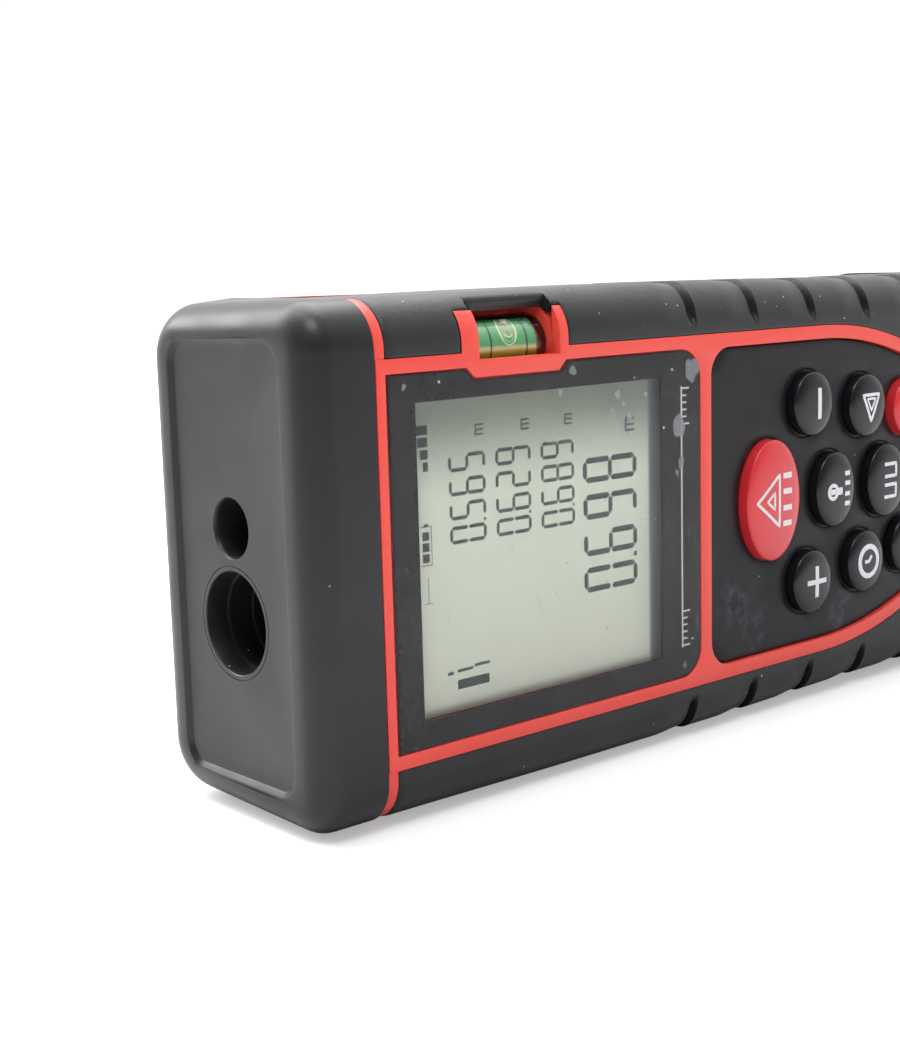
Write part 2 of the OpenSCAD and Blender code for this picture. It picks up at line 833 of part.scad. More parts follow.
module contact_springs() {
    h = bay_x1 - bay_x0 - cell_l - 1 - 2 * wire_r - 0.1;
    color("#c4c6c8") in_frame() {
        translate([bay_x0 + 0.42 + wire_r, cell_y, -cell_z]) rotate([0, 90, 0]) spring(h);
        translate([bay_x1 - 0.42 - wire_r, cell_y, cell_z]) rotate([0, -90, 0]) spring(h);
    }
}

module contact_plates() {
    color("#c4c6c8") in_frame() {
        for (z = [-cell_z, cell_z], x = [bay_x0, bay_x1 - 0.4])
            block(x, x + 0.4, bay_floor_y + 0.2, bay_floor_y + 9, z - 4.6, z + 4.6);
    }
}

module battery_cover() {
    color("#2f2f32") in_frame() difference() {
        union() {
            // The front edge is round about the line that the cover turns on
            intersection() {
                translate([0, 0, -cover_half]) linear_extrude(2 * cover_half) {
                    translate([cover_x0 + cover_r, cover_y0]) square([cover_x1 - cover_x0 - cover_r, cover_t]);
                    translate([cover_x0 + cover_r, cover_y0 + cover_r]) circle(r = cover_r);
                }
                plate(cover_y0 - 1, body_t + 1) cover_outline();
            }
            // Hooks that reach under the shell in front of the cover
            for (side = [-1, 1]) {
                block(cover_x0 - hook_l, cover_x0 + 1.5, cover_y0 - 1, cover_y0 - 0.3,
                    side * hook_z - 2, side * hook_z + 2);
                block(cover_x0 + 0.4, cover_x0 + 1.5, cover_y0 - 1, cover_y0 + eps,
                    side * hook_z - 2, side * hook_z + 2);
            }
        }
        // Finger notch at the latch end
        translate([cover_x1 - 6.5, body_t + 6.6, 0]) sphere(r = 7.5);
        for (i = [0 : 4]) block(cover_x1 - 16 + i * 1.6, cover_x1 - 15.2 + i * 1.6, body_t - 0.4, far, -7, 7);
    }
}

module cover_foam() {
    color("#1c1c1e") in_frame() block(68, 88, cover_y0 - 0.4, cover_y0, -4, 4);
}

// ---- screws ----

// A countersunk-free pan head screw along the depth of the body
module screw(x, z, y_tip, y_seat, r, head_r, head_h) {
    difference() {
        union() {
            post(x, z, r, y_tip, y_seat + eps);
            post(x, z, head_r, y_seat, y_seat + head_h);
        }
        block(x - head_r * 0.6, x + head_r * 0.6, y_seat + head_h * 0.5, far, z - 0.25, z + 0.25);
        block(x - 0.25, x + 0.25, y_seat + head_h * 0.5, far, z - head_r * 0.6, z + head_r * 0.6);
    }
}

module case_screws() {
    color("#8d8f92") in_frame() for (spot = screw_spots)
        screw(spot[0], spot[1], 6, screw_seat_y + 0.02, pilot_r - 0.05, screw_head_r, 1.4);
}

module pcb_screws() {
    color("#8d8f92") in_frame() for (side = [-1, 1])
        screw(pcb_post[0], side * pcb_post[1], 3.4, pcb_y1 + 0.02, 0.65, 1.5, 0.9);
}

nose_cap();
front_shell();
rear_shell();
right_grip();
left_grip();
tail_cap();
back_pad();
back_label();
display_window();
lcd_glass();
lcd_holder();
lcd_backlight();
lcd_ribbon();
keypad_panel();
key_measure();
key_minus();
key_plus();
key_light();
key_angle();
key_history();
key_area();
key_off();
key_reference();
key_switches();
main_pcb();
pcb_chips();
buzzer();
optics_frame();
receiver_lens();
receiver_filter();
receiver_board();
photodiode();
laser_barrel();
laser_lens();
laser_diode();
vial_tube();
vial_liquid();
vial_plug();
cell_a();
cell_b();
contact_springs();
contact_plates();
battery_cover();
cover_foam();
case_screws();
pcb_screws();
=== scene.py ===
"""The looks of a hand-held laser distance meter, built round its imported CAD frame.

Shapes are worked out in the meter's own millimetres: x runs from the nose face to the
tail, y from the display face to the back and z across the body from its centre line.
Place turns them into the frame's metres.
"""
import json
import logging
import math
import random
from dataclasses import dataclass
from enum import Enum
from typing import Callable, Iterable, Optional, Sequence

import bmesh
import bpy
from mathutils import Matrix, Vector
from mathutils.geometry import delaunay_2d_cdt


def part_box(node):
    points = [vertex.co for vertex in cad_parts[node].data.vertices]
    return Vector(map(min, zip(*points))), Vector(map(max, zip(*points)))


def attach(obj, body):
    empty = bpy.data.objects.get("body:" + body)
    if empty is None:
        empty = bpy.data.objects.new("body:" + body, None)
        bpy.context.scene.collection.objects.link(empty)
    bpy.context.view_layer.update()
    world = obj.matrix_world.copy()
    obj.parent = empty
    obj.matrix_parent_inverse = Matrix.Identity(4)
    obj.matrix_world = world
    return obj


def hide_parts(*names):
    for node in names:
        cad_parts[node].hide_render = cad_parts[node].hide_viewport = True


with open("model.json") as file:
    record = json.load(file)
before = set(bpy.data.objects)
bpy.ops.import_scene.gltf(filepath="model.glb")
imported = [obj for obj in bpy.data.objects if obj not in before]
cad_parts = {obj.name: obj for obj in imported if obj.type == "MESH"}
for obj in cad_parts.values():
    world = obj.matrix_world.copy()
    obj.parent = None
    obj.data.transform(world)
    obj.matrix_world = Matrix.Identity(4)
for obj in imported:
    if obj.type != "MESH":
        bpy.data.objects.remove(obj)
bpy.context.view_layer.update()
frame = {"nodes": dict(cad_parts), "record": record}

LOG = logging.getLogger("laser_meter")
MM = 0.001
SKIN = 1.2
FULL_TURN = 2 * math.pi

Point = tuple[float, float, float]
Flat = tuple[float, float]
Colour = tuple[float, float, float]
Height = Callable[[float, float], float]


# ---------------------------------------------------------------- places and meshes


@dataclass(frozen=True)
class Place:
    """Where the meter's own axes lie in the frame, in metres."""

    nose_x: float
    face_y: float
    middle_z: float

    @classmethod
    def from_frame(cls) -> "Place":
        """Reads the axes off the nose cap and the front shell."""
        low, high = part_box("nose_cap")
        return cls(low.x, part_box("front_shell")[0].y, (low.z + high.z) / 2)

    def point(self, x: float, y: float, z: float) -> Vector:
        """Turns millimetres on the meter's axes into a point of the frame."""
        return Vector((self.nose_x + x * MM, self.face_y + y * MM, self.middle_z + z * MM))

    def box(self, node: str) -> tuple[Vector, Vector]:
        """Gives a CAD node's lowest and highest corners in the meter's millimetres."""
        origin = self.point(0, 0, 0)
        low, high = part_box(node)
        return (low - origin) / MM, (high - origin) / MM


def soften(mesh: bpy.types.Mesh, angle: float) -> None:
    """Shades a mesh smooth, and keeps the edges sharper than an angle in degrees crisp."""
    mesh.shade_smooth()
    mesh.set_sharp_from_angle(angle=math.radians(angle))


def bake_modifiers(piece: bpy.types.Object) -> None:
    """Turns what a piece's modifiers make into its own mesh."""
    graph = bpy.context.evaluated_depsgraph_get()
    mesh = bpy.data.meshes.new_from_object(piece.evaluated_get(graph))
    piece.modifiers.clear()
    piece.data = mesh


def combine(piece: bpy.types.Object, other: bpy.types.Object, operation: str) -> None:
    """Joins another solid to a piece, or cuts it out, and removes the other solid.

    Args:
        piece: The solid that is changed.
        other: The solid that is used up.
        operation: UNION or DIFFERENCE.
    """
    modifier = piece.modifiers.new("combine", "BOOLEAN")
    modifier.operation = operation
    modifier.solver = "EXACT"
    modifier.object = other
    bake_modifiers(piece)
    bpy.data.objects.remove(other)


def circle(count: int) -> list[float]:
    """Gives the angles of evenly spaced points round a circle, in radians."""
    return [FULL_TURN * i / count for i in range(count)]


class Solid:
    """A closed mesh put together from rings, strips and grids of points, in millimetres."""

    def __init__(self, name: str, place: Place) -> None:
        """Starts an empty solid of that name."""
        self.name = name
        self.place = place
        self.points: list[Point] = []
        self.faces: list[list[int]] = []

    def add(self, points: Iterable[Point]) -> list[int]:
        """Adds points and returns their numbers."""
        first = len(self.points)
        self.points.extend(points)
        return list(range(first, len(self.points)))

    def bridge(self, first: Sequence[int], second: Sequence[int], closed: bool = True) -> None:
        """Joins two rows of points of the same length with quads."""
        count = len(first)
        for i in range(count if closed else count - 1):
            j = (i + 1) % count
            self.faces.append([first[i], first[j], second[j], second[i]])

    def loft(self, rings: Iterable[Sequence[Point]]) -> None:
        """Joins rings of points one after another, and closes both ends."""
        rows = [self.add(ring) for ring in rings]
        for first, second in zip(rows, rows[1:]):
            self.bridge(first, second)
        self.faces.append(rows[0])
        self.faces.append(rows[-1])

    def turn(self, centre: Point, profile: Sequence[Flat], steps: int = 64) -> None:
        """Turns a closed profile of (x, radius) points about the x axis through centre."""
        rings = [
            [(centre[0] + x, centre[1] + r * math.cos(t), centre[2] + r * math.sin(t)) for t in circle(steps)]
            for x, r in profile
        ]
        rows = [self.add(ring) for ring in rings]
        for first, second in zip(rows, rows[1:] + rows[:1]):
            self.bridge(first, second)

    def slab(self, outline: Sequence[Flat], top: Height, bottom: Height) -> None:
        """Makes a plate with an outline of (x, z) points between two heights in y."""
        upper = self.add((x, top(x, z), z) for x, z in outline)
        lower = self.add((x, bottom(x, z), z) for x, z in outline)
        self.bridge(upper, lower)
        self.faces.append(upper)
        self.faces.append(lower)

    def grids(
        self,
        outer: Sequence[Sequence[Point]],
        inner: Sequence[Sequence[Point]],
        kept: Callable[[int, int], bool],
    ) -> None:
        """Makes a skin between two grids of points, of the cells that are kept.

        Args:
            outer: The outer surface, row by row.
            inner: The inner surface, with the same rows and columns.
            kept: Tells from a cell's row and column whether it is part of the skin.
        """
        tops = [self.add(row) for row in outer]
        bottoms = [self.add(row) for row in inner]
        rows, columns = len(outer) - 1, len(outer[0]) - 1

        def there(i: int, j: int) -> bool:
            """Tells whether a cell is inside the grid and kept."""
            return 0 <= i < rows and 0 <= j < columns and kept(i, j)

        for i in range(rows):
            for j in range(columns):
                if not there(i, j):
                    continue
                corners = [(i, j), (i + 1, j), (i + 1, j + 1), (i, j + 1)]
                self.faces.append([tops[a][b] for a, b in corners])
                self.faces.append([bottoms[a][b] for a, b in reversed(corners)])
                neighbours = [(i, j - 1), (i + 1, j), (i, j + 1), (i - 1, j)]
                for k, beside in enumerate(neighbours):
                    if not there(*beside):
                        (a, b), (c, d) = corners[k], corners[(k + 1) % 4]
                        self.faces.append([tops[a][b], bottoms[a][b], bottoms[c][d], tops[c][d]])

    def build(self, paint: Optional[bpy.types.Material] = None, angle: float = 35) -> bpy.types.Object:
        """Makes the object in the frame.

        Args:
            paint: The material, if the piece has only one.
            angle: Edges sharper than this many degrees stay crisp.

        Returns:
            The new object, which rides on nothing yet.
        """
        mesh = bpy.data.meshes.new(self.name)
        mesh.from_pydata([self.place.point(*p) for p in self.points], [], self.faces)
        work = bmesh.new()
        work.from_mesh(mesh)
        bmesh.ops.remove_doubles(work, verts=work.verts, dist=1e-7)
        bmesh.ops.recalc_face_normals(work, faces=work.faces)
        work.to_mesh(mesh)
        work.free()
        soften(mesh, angle)
        piece = bpy.data.objects.new(self.name, mesh)
        bpy.context.scene.collection.objects.link(piece)
        if paint is not None:
            mesh.materials.append(paint)
        return piece


def arc(centre: Flat, radius: float, start: float, end: float, steps: int) -> list[Flat]:
    """Gives the points of an arc between two angles in degrees, both ends included."""
    angles = (math.radians(start + (end - start) * i / steps) for i in range(steps + 1))
    return [(centre[0] + radius * math.cos(a), centre[1] + radius * math.sin(a)) for a in angles]


def rounded_box(low: Flat, high: Flat, radii: Sequence[float], steps: int = 10) -> list[Flat]:
    """Gives a rectangle's outline with its own radius at each corner.

    Args:
        low: The corner with the lowest coordinates.
        high: The opposite corner.
        radii: Radius at (low, high), (high, high), (high, low) and (low, low).
        steps: Steps in each corner's arc.
    """
    spots = [(low[0], high[1], 180), (high[0], high[1], 90), (high[0], low[1], 0), (low[0], low[1], -90)]
    outline = []
    for (a, b, start), r in zip(spots, radii):
        centre = (a + (r if a == low[0] else -r), b + (r if b == low[1] else -r))
        outline += arc(centre, r, start, start - 90, steps)
    return outline


def rim_drop(distance: float, radius: float) -> float:
    """Gives how far a rounded rim has dropped at a distance from its edge."""
    if distance >= radius:
        return 0.0
    return radius - math.sqrt(radius**2 - (radius - max(distance, 0.0)) ** 2)


def ease(value: float, start: float, end: float) -> float:
    """Rises smoothly from 0 at start to 1 at end."""
    t = min(max((value - start) / (end - start), 0.0), 1.0)
    return t * t * (3 - 2 * t)


def spread(start: float, end: float, step: float) -> list[float]:
    """Gives even steps from start up to, but without, end."""
    count = max(1, round((end - start) / step))
    return [start + (end - start) * i / count for i in range(count)]


# ---------------------------------------------------------------- shader groups


class Sheet:
    """Places and links nodes in one node tree."""

    def __init__(self, tree: bpy.types.NodeTree) -> None:
        """Takes the tree that is filled."""
        self.tree = tree

    def add(self, kind: str, values: Optional[dict] = None, **settings: object) -> bpy.types.Node:
        """Places a node.

        Args:
            kind: The node's type, without the leading ShaderNode.
            values: Input name or number to a value, or to the socket that feeds it.
            settings: Properties of the node itself.

        Returns:
            The new node.
        """
        node = self.tree.nodes.new("ShaderNode" + kind)
        for name, value in settings.items():
            setattr(node, name, value)
        self.feed(node, values or {})
        return node

    def feed(self, node: bpy.types.Node, values: dict) -> None:
        """Sets or links a node's inputs."""
        for name, value in values.items():
            if isinstance(value, bpy.types.NodeSocket):
                self.tree.links.new(value, node.inputs[name])
            else:
                node.inputs[name].default_value = value

    def maths(
        self, operation: str, first: object, second: object = 0.0, third: object = 0.0
    ) -> bpy.types.NodeSocket:
        """Places a Math node and returns its result."""
        values = {0: first, 1: second, 2: third}
        return self.add("Math", values, operation=operation).outputs[0]

    def between(self, value: object, low: float, high: float) -> bpy.types.NodeSocket:
        """Turns a value's stretch from low to high into 0 to 1, smoothly."""
        values = {"Value": value, "From Min": low, "From Max": high}
        return self.add("MapRange", values, interpolation_type="SMOOTHSTEP").outputs["Result"]

    def mix(self, share: object, first: object, second: object) -> bpy.types.NodeSocket:
        """Mixes two colours and returns the result."""
        node = self.add("Mix", {0: share}, data_type="RGBA")
        self.feed(node, {6: first, 7: second})
        return node.outputs[2]

    def here(self) -> bpy.types.NodeSocket:
        """Gives the place on the object, in metres."""
        return self.add("TexCoord").outputs["Object"]

    def group(self, group: bpy.types.NodeTree, values: dict) -> bpy.types.Node:
        """Places a shared effect with its own values."""
        node = self.tree.nodes.new("ShaderNodeGroup")
        node.node_tree = group
        self.feed(node, values)
        return node


class Socket(Enum):
    """The kinds of input and output that a shared effect has."""

    NUMBER = "NodeSocketFloat"
    COLOUR = "NodeSocketColor"
    VECTOR = "NodeSocketVector"


def new_group(
    name: str, inputs: dict[str, Socket], output: tuple[str, Socket]
) -> tuple[Sheet, dict, Callable]:
    """Starts a shared effect.

    Args:
        name: The group's name.
        inputs: Name and kind of each input.
        output: Name and kind of the only output.

    Returns:
        The sheet to fill, the input sockets by name, and a function that takes the result.
    """
    tree = bpy.data.node_groups.new(name, "ShaderNodeTree")
    for label, kind in inputs.items():
        tree.interface.new_socket(name=label, in_out="INPUT", socket_type=kind.value)
    tree.interface.new_socket(name=output[0], in_out="OUTPUT", socket_type=output[1].value)
    entry = tree.nodes.new("NodeGroupInput")
    leave = tree.nodes.new("NodeGroupOutput")
    sheet = Sheet(tree)

    def give(result: bpy.types.NodeSocket) -> None:
        """Links the result to the group's output."""
        tree.links.new(result, leave.inputs[0])

    return sheet, {label: entry.outputs[label] for label in inputs}, give


class Effects:
    """The shader groups that several finishes share, each built once."""

    def __init__(self) -> None:
        """Builds every group."""
        self.grain = self._grain()
        self.drift = self._drift()
        self.dust = self._dust()
        self.marks = self._marks()
        self.scratches = self._scratches()
        self.smudge = self._smudge()

    def _grain(self) -> bpy.types.NodeTree:
        """Builds the fine spark-eroded grain of a moulding; Pitch is its size in metres."""
        inputs = {"Place": Socket.VECTOR, "Pitch": Socket.NUMBER}
        sheet, entry, give = new_group("moulded_grain", inputs, ("Height", Socket.NUMBER))
        scale = sheet.maths("DIVIDE", 1.0, entry["Pitch"])
        fine = sheet.add("TexNoise", {"Vector": entry["Place"], "Scale": scale, "Detail": 2.0})
        broad_scale = sheet.maths("MULTIPLY", scale, 0.37)
        broad = sheet.add("TexNoise", {"Vector": entry["Place"], "Scale": broad_scale, "Detail": 1.0})
        give(sheet.maths("MULTIPLY_ADD", broad.outputs[0], 0.6, fine.outputs[0]))
        return sheet.tree

    def _drift(self) -> bpy.types.NodeTree:
        """Builds the slow change of tone over a surface; Amount is its share of the colour."""
        inputs = {"Place": Socket.VECTOR, "Colour": Socket.COLOUR, "Amount": Socket.NUMBER}
        sheet, entry, give = new_group("tone_drift", inputs, ("Colour", Socket.COLOUR))
        wide = sheet.add("TexNoise", {"Vector": entry["Place"], "Scale": 90.0, "Detail": 3.0})
        close = sheet.add("TexNoise", {"Vector": entry["Place"], "Scale": 1400.0, "Detail": 1.0})
        both = sheet.maths("ADD", wide.outputs[0], close.outputs[0])
        swing = sheet.maths("MULTIPLY", sheet.maths("SUBTRACT", both, 1.0), entry["Amount"])
        value = sheet.maths("ADD", swing, 1.0)
        give(sheet.add("HueSaturation", {"Color": entry["Colour"], "Value": value}).outputs[0])
        return sheet.tree

    def _dust(self) -> bpy.types.NodeTree:
        """Builds tiny bright specks; Pitch is their distance in metres, Amount how many are lit."""
        inputs = {"Place": Socket.VECTOR, "Pitch": Socket.NUMBER, "Amount": Socket.NUMBER}
        sheet, entry, give = new_group("dust_specks", inputs, ("Mask", Socket.NUMBER))
        scale = sheet.maths("DIVIDE", 1.0, entry["Pitch"])
        cells = sheet.add("TexVoronoi", {"Vector": entry["Place"], "Scale": scale})
        near = sheet.maths("SUBTRACT", 1.0, sheet.between(cells.outputs["Distance"], 0.06, 0.13))
        split = sheet.add("SeparateColor", {"Color": cells.outputs["Color"]})
        lit = sheet.maths("LESS_THAN", split.outputs[0], entry["Amount"])
        strength = sheet.maths("MULTIPLY", near, split.outputs[1])
        give(sheet.maths("MULTIPLY", strength, lit))
        return sheet.tree

    def _marks(self) -> bpy.types.NodeTree:
        """Builds the shinier and duller patches that handling leaves."""
        inputs = {"Place": Socket.VECTOR, "Pitch": Socket.NUMBER}
        sheet, entry, give = new_group("handling_marks", inputs, ("Mask", Socket.NUMBER))
        scale = sheet.maths("DIVIDE", 1.0, entry["Pitch"])
        cloud = sheet.add(
            "TexNoise",
            {"Vector": entry["Place"], "Scale": scale, "Detail": 4.0, "Distortion": 0.8},
        )
        give(sheet.between(cloud.outputs[0], 0.42, 0.7))
        return sheet.tree

    def _scratches(self) -> bpy.types.NodeTree:
        """Builds thin broken hairline scratches."""
        inputs = {"Place": Socket.VECTOR, "Pitch": Socket.NUMBER}
        sheet, entry, give = new_group("hairlines", inputs, ("Mask", Socket.NUMBER))
        scale = sheet.maths("DIVIDE", 1.0, entry["Pitch"])
        bend = sheet.add("TexNoise", {"Vector": entry["Place"], "Scale": scale, "Detail": 1.0})
        line = sheet.maths("ABSOLUTE", sheet.maths("SUBTRACT", bend.outputs[0], 0.5))
        thin = sheet.maths("SUBTRACT", 1.0, sheet.between(line, 0.0, 0.0035))
        broken_scale = sheet.maths("MULTIPLY", scale, 2.3)
        gate = sheet.add("TexNoise", {"Vector": entry["Place"], "Scale": broken_scale, "Detail": 0.0})
        give(sheet.maths("MULTIPLY", thin, sheet.between(gate.outputs[0], 0.56, 0.7)))
        return sheet.tree

    def _smudge(self) -> bpy.types.NodeTree:
        """Builds one soft-edged broken patch about a centre."""
        inputs = {"Place": Socket.VECTOR, "Centre": Socket.VECTOR, "Radius": Socket.NUMBER}
        sheet, entry, give = new_group("local_smudge", inputs, ("Mask", Socket.NUMBER))
        away = sheet.add("VectorMath", {0: entry["Place"], 1: entry["Centre"]}, operation="DISTANCE")
        share = sheet.maths("DIVIDE", away.outputs["Value"], entry["Radius"])
        inside = sheet.maths("SUBTRACT", 1.0, sheet.between(share, 0.2, 1.0))
        cloud = sheet.add("TexNoise", {"Vector": entry["Place"], "Scale": 800.0, "Detail": 4.0})
        give(sheet.maths("MULTIPLY", inside, sheet.between(cloud.outputs[0], 0.4, 0.75)))
        return sheet.tree


# ---------------------------------------------------------------- finishes


DUST_COLOUR = (0.55, 0.56, 0.58, 1.0)


def new_material(name: str) -> tuple[bpy.types.Material, Sheet, bpy.types.Node, bpy.types.Node]:
    """Starts a material, and returns it with its sheet, its shader and its output."""
    material = bpy.data.materials.new(name)
    material.use_nodes = True
    nodes = material.node_tree.nodes
    nodes.clear()
    sheet = Sheet(material.node_tree)
    shader = sheet.add("BsdfPrincipled")
    output = sheet.add("OutputMaterial", {"Surface": shader.outputs[0]})
    return material, sheet, shader, output


@dataclass(frozen=True)
class Patch:
    """A local dusty smudge: its centre in the meter's millimetres and its radius."""

    centre: Point
    radius: float


@dataclass(frozen=True)
class Surface:
    """An opaque finish: drifting colour, fine grain, dust specks and handling marks.

    Sizes are in millimetres.
    """

    name: str
    colour: Colour
    roughness: float
    drift: float = 0.12
    grain_pitch: float = 0.3
    grain_depth: float = 0.006
    dust: float = 0.0
    marks: float = 0.08
    coat: float = 0.0
    specular: float = 0.5
    metallic: float = 0.0
    patches: tuple[Patch, ...] = ()

    def material(self, effects: Effects, place: Place) -> bpy.types.Material:
        """Builds the finish as a material."""
        material, sheet, shader, _ = new_material(self.name)
        here = sheet.here()
        values = {"Place": here, "Colour": (*self.colour, 1.0), "Amount": self.drift}
        colour = sheet.group(effects.drift, values).outputs[0]
        if self.dust:
            specks = sheet.group(effects.dust, {"Place": here, "Pitch": 0.9 * MM, "Amount": self.dust})
            colour = sheet.mix(specks.outputs[0], colour, DUST_COLOUR)
        marks = sheet.group(effects.marks, {"Place": here, "Pitch": 9 * MM}).outputs[0]
        for patch in self.patches:
            values = {"Place": here, "Centre": place.point(*patch.centre), "Radius": patch.radius * MM}
            mask = sheet.group(effects.smudge, values).outputs[0]
            colour = sheet.mix(sheet.maths("MULTIPLY", mask, 0.12), colour, (0.26, 0.30, 0.36, 1.0))
        grain = sheet.group(effects.grain, {"Place": here, "Pitch": self.grain_pitch * MM}).outputs[0]
        bump = sheet.add("Bump", {"Height": grain, "Distance": self.grain_depth * MM})
        sheet.feed(
            shader,
            {
                "Base Color": colour,
                "Roughness": sheet.maths("MULTIPLY_ADD", marks, self.marks, self.roughness),
                "Normal": bump.outputs[0],
                "Metallic": self.metallic,
                "Coat Weight": self.coat,
                "Coat Roughness": 0.06,
                "Specular IOR Level": self.specular,
            },
        )
        return material


@dataclass(frozen=True)
class Clear:
    """A clear piece that lets lamps through: acrylic, glass or a liquid."""

    name: str
    colour: Colour
    roughness: float
    ior: float = 1.49

    def material(self, effects: Effects, place: Place) -> bpy.types.Material:
        """Builds the finish as a material."""
        material, sheet, shader, output = new_material(self.name)
        here = sheet.here()
        marks = sheet.group(effects.marks, {"Place": here, "Pitch": 5 * MM}).outputs[0]
        values = {
            "Base Color": (*self.colour, 1.0),
            "Roughness": sheet.maths("MULTIPLY_ADD", marks, 0.03, self.roughness),
            "Transmission Weight": 1.0,
            "IOR": self.ior,
        }
        sheet.feed(shader, values)
        path = sheet.add("LightPath")
        through = sheet.maths("MAXIMUM", path.outputs["Is Shadow Ray"], path.outputs["Is Diffuse Ray"])
        pass_on = sheet.add("BsdfTransparent", {"Color": (*self.colour, 1.0)})
        both = sheet.add("MixShader", {0: through, 1: shader.outputs[0], 2: pass_on.outputs[0]})
        sheet.feed(output, {"Surface": both.outputs[0]})
        return material


@dataclass(frozen=True)
class Film:
    """A thin see-through layer with hairlines and dust in it: a film, a scrap or an ink."""

    name: str
    colour: Colour
    haze: float
    lines: float = 0.0
    dust: float = 0.0

    def material(self, effects: Effects, place: Place) -> bpy.types.Material:
        """Builds the finish as a material."""
        material, sheet, shader, _ = new_material(self.name)
        here = sheet.here()
        lines = sheet.group(effects.scratches, {"Place": here, "Pitch": 9 * MM}).outputs[0]
        cloud = sheet.group(effects.marks, {"Place": here, "Pitch": 6 * MM}).outputs[0]
        dust = sheet.group(effects.dust, {"Place": here, "Pitch": 1.4 * MM, "Amount": 0.12}).outputs[0]
        haze = sheet.maths("MULTIPLY_ADD", cloud, 0.4 * self.haze, self.haze)
        drawn = sheet.maths("MULTIPLY", lines, self.lines)
        marked = sheet.maths("MAXIMUM", drawn, sheet.maths("MULTIPLY", dust, self.dust))
        sheet.feed(
            shader,
            {
                "Base Color": sheet.mix(marked, (*self.colour, 1.0), (0.85, 0.86, 0.88, 1.0)),
                "Roughness": 0.35,
                "Alpha": sheet.maths("MAXIMUM", haze, marked),
                "Specular IOR Level": 0.2,
            },
        )
        return material


@dataclass(frozen=True)
class Display:
    """The liquid crystal's reflective ground, with painted shade towards its top, darker towards its seal and
    along its foot.
    """

    name: str
    bright: Colour
    painted_shade_tone: Colour
    seal: Colour
    painted_shade_z: Flat = (4.5, 13.0)
    seal_x: Flat = (42.2, 42.7)
    foot_z: Flat = (-14.3, -13.5)

    def material(self, effects: Effects, place: Place) -> bpy.types.Material:
        """Builds the finish as a material."""
        material, sheet, shader, _ = new_material(self.name)
        here = sheet.here()
        split = sheet.add("SeparateXYZ", {"Vector": here})
        # Painted shade: the ground runs from the bright tone low down to the painted shade tone at its top.
        low, top = (place.point(0, 0, z).z for z in self.painted_shade_z)
        shade = sheet.between(split.outputs["Z"], low, top)
        ground = sheet.mix(shade, (*self.bright, 1.0), (*self.painted_shade_tone, 1.0))
        ground = sheet.group(effects.drift, {"Place": here, "Colour": ground, "Amount": 0.05}).outputs[0]
        end = sheet.between(split.outputs["X"], *(place.point(x, 0, 0).x for x in self.seal_x))
        clear = sheet.between(split.outputs["Z"], *(place.point(0, 0, z).z for z in self.foot_z))
        foot = sheet.maths("SUBTRACT", 1.0, clear)
        edge = sheet.maths("MAXIMUM", end, sheet.maths("MULTIPLY", foot, 0.5))
        sheet.feed(
            shader,
            {
                "Base Color": sheet.mix(edge, ground, (*self.seal, 1.0)),
                "Roughness": 0.5,
                "Specular IOR Level": 0.1,
            },
        )
        return material


@dataclass(frozen=True)
class Spirit:
    """The vial's coloured liquid: green above, yellow where the light comes up through it."""

    name: str
    upper: Colour
    lower: Colour
    level: float

    def material(self, effects: Effects, place: Place) -> bpy.types.Material:
        """Builds the finish as a material."""
        material, sheet, shader, _ = new_material(self.name)
        here = sheet.here()
        split = sheet.add("SeparateXYZ", {"Vector": here})
        step = place.point(0, 0, self.level).z
        blur = 0.12 * MM
        above = sheet.between(split.outputs["Z"], step - blur, step + blur)
        below = sheet.maths("SUBTRACT", 1.0, above)
        colour = sheet.mix(below, (*self.upper, 1.0), (*self.lower, 1.0))
        colour = sheet.group(effects.drift, {"Place": here, "Colour": colour, "Amount": 0.3}).outputs[0]
        sheet.feed(shader, {"Base Color": colour, "Roughness": 0.25, "Coat Weight": 0.6})
        return material


RED = (0.72, 0.062, 0.045)
CHARCOAL = (0.0105, 0.0105, 0.0125)
INK = (0.62, 0.64, 0.66)

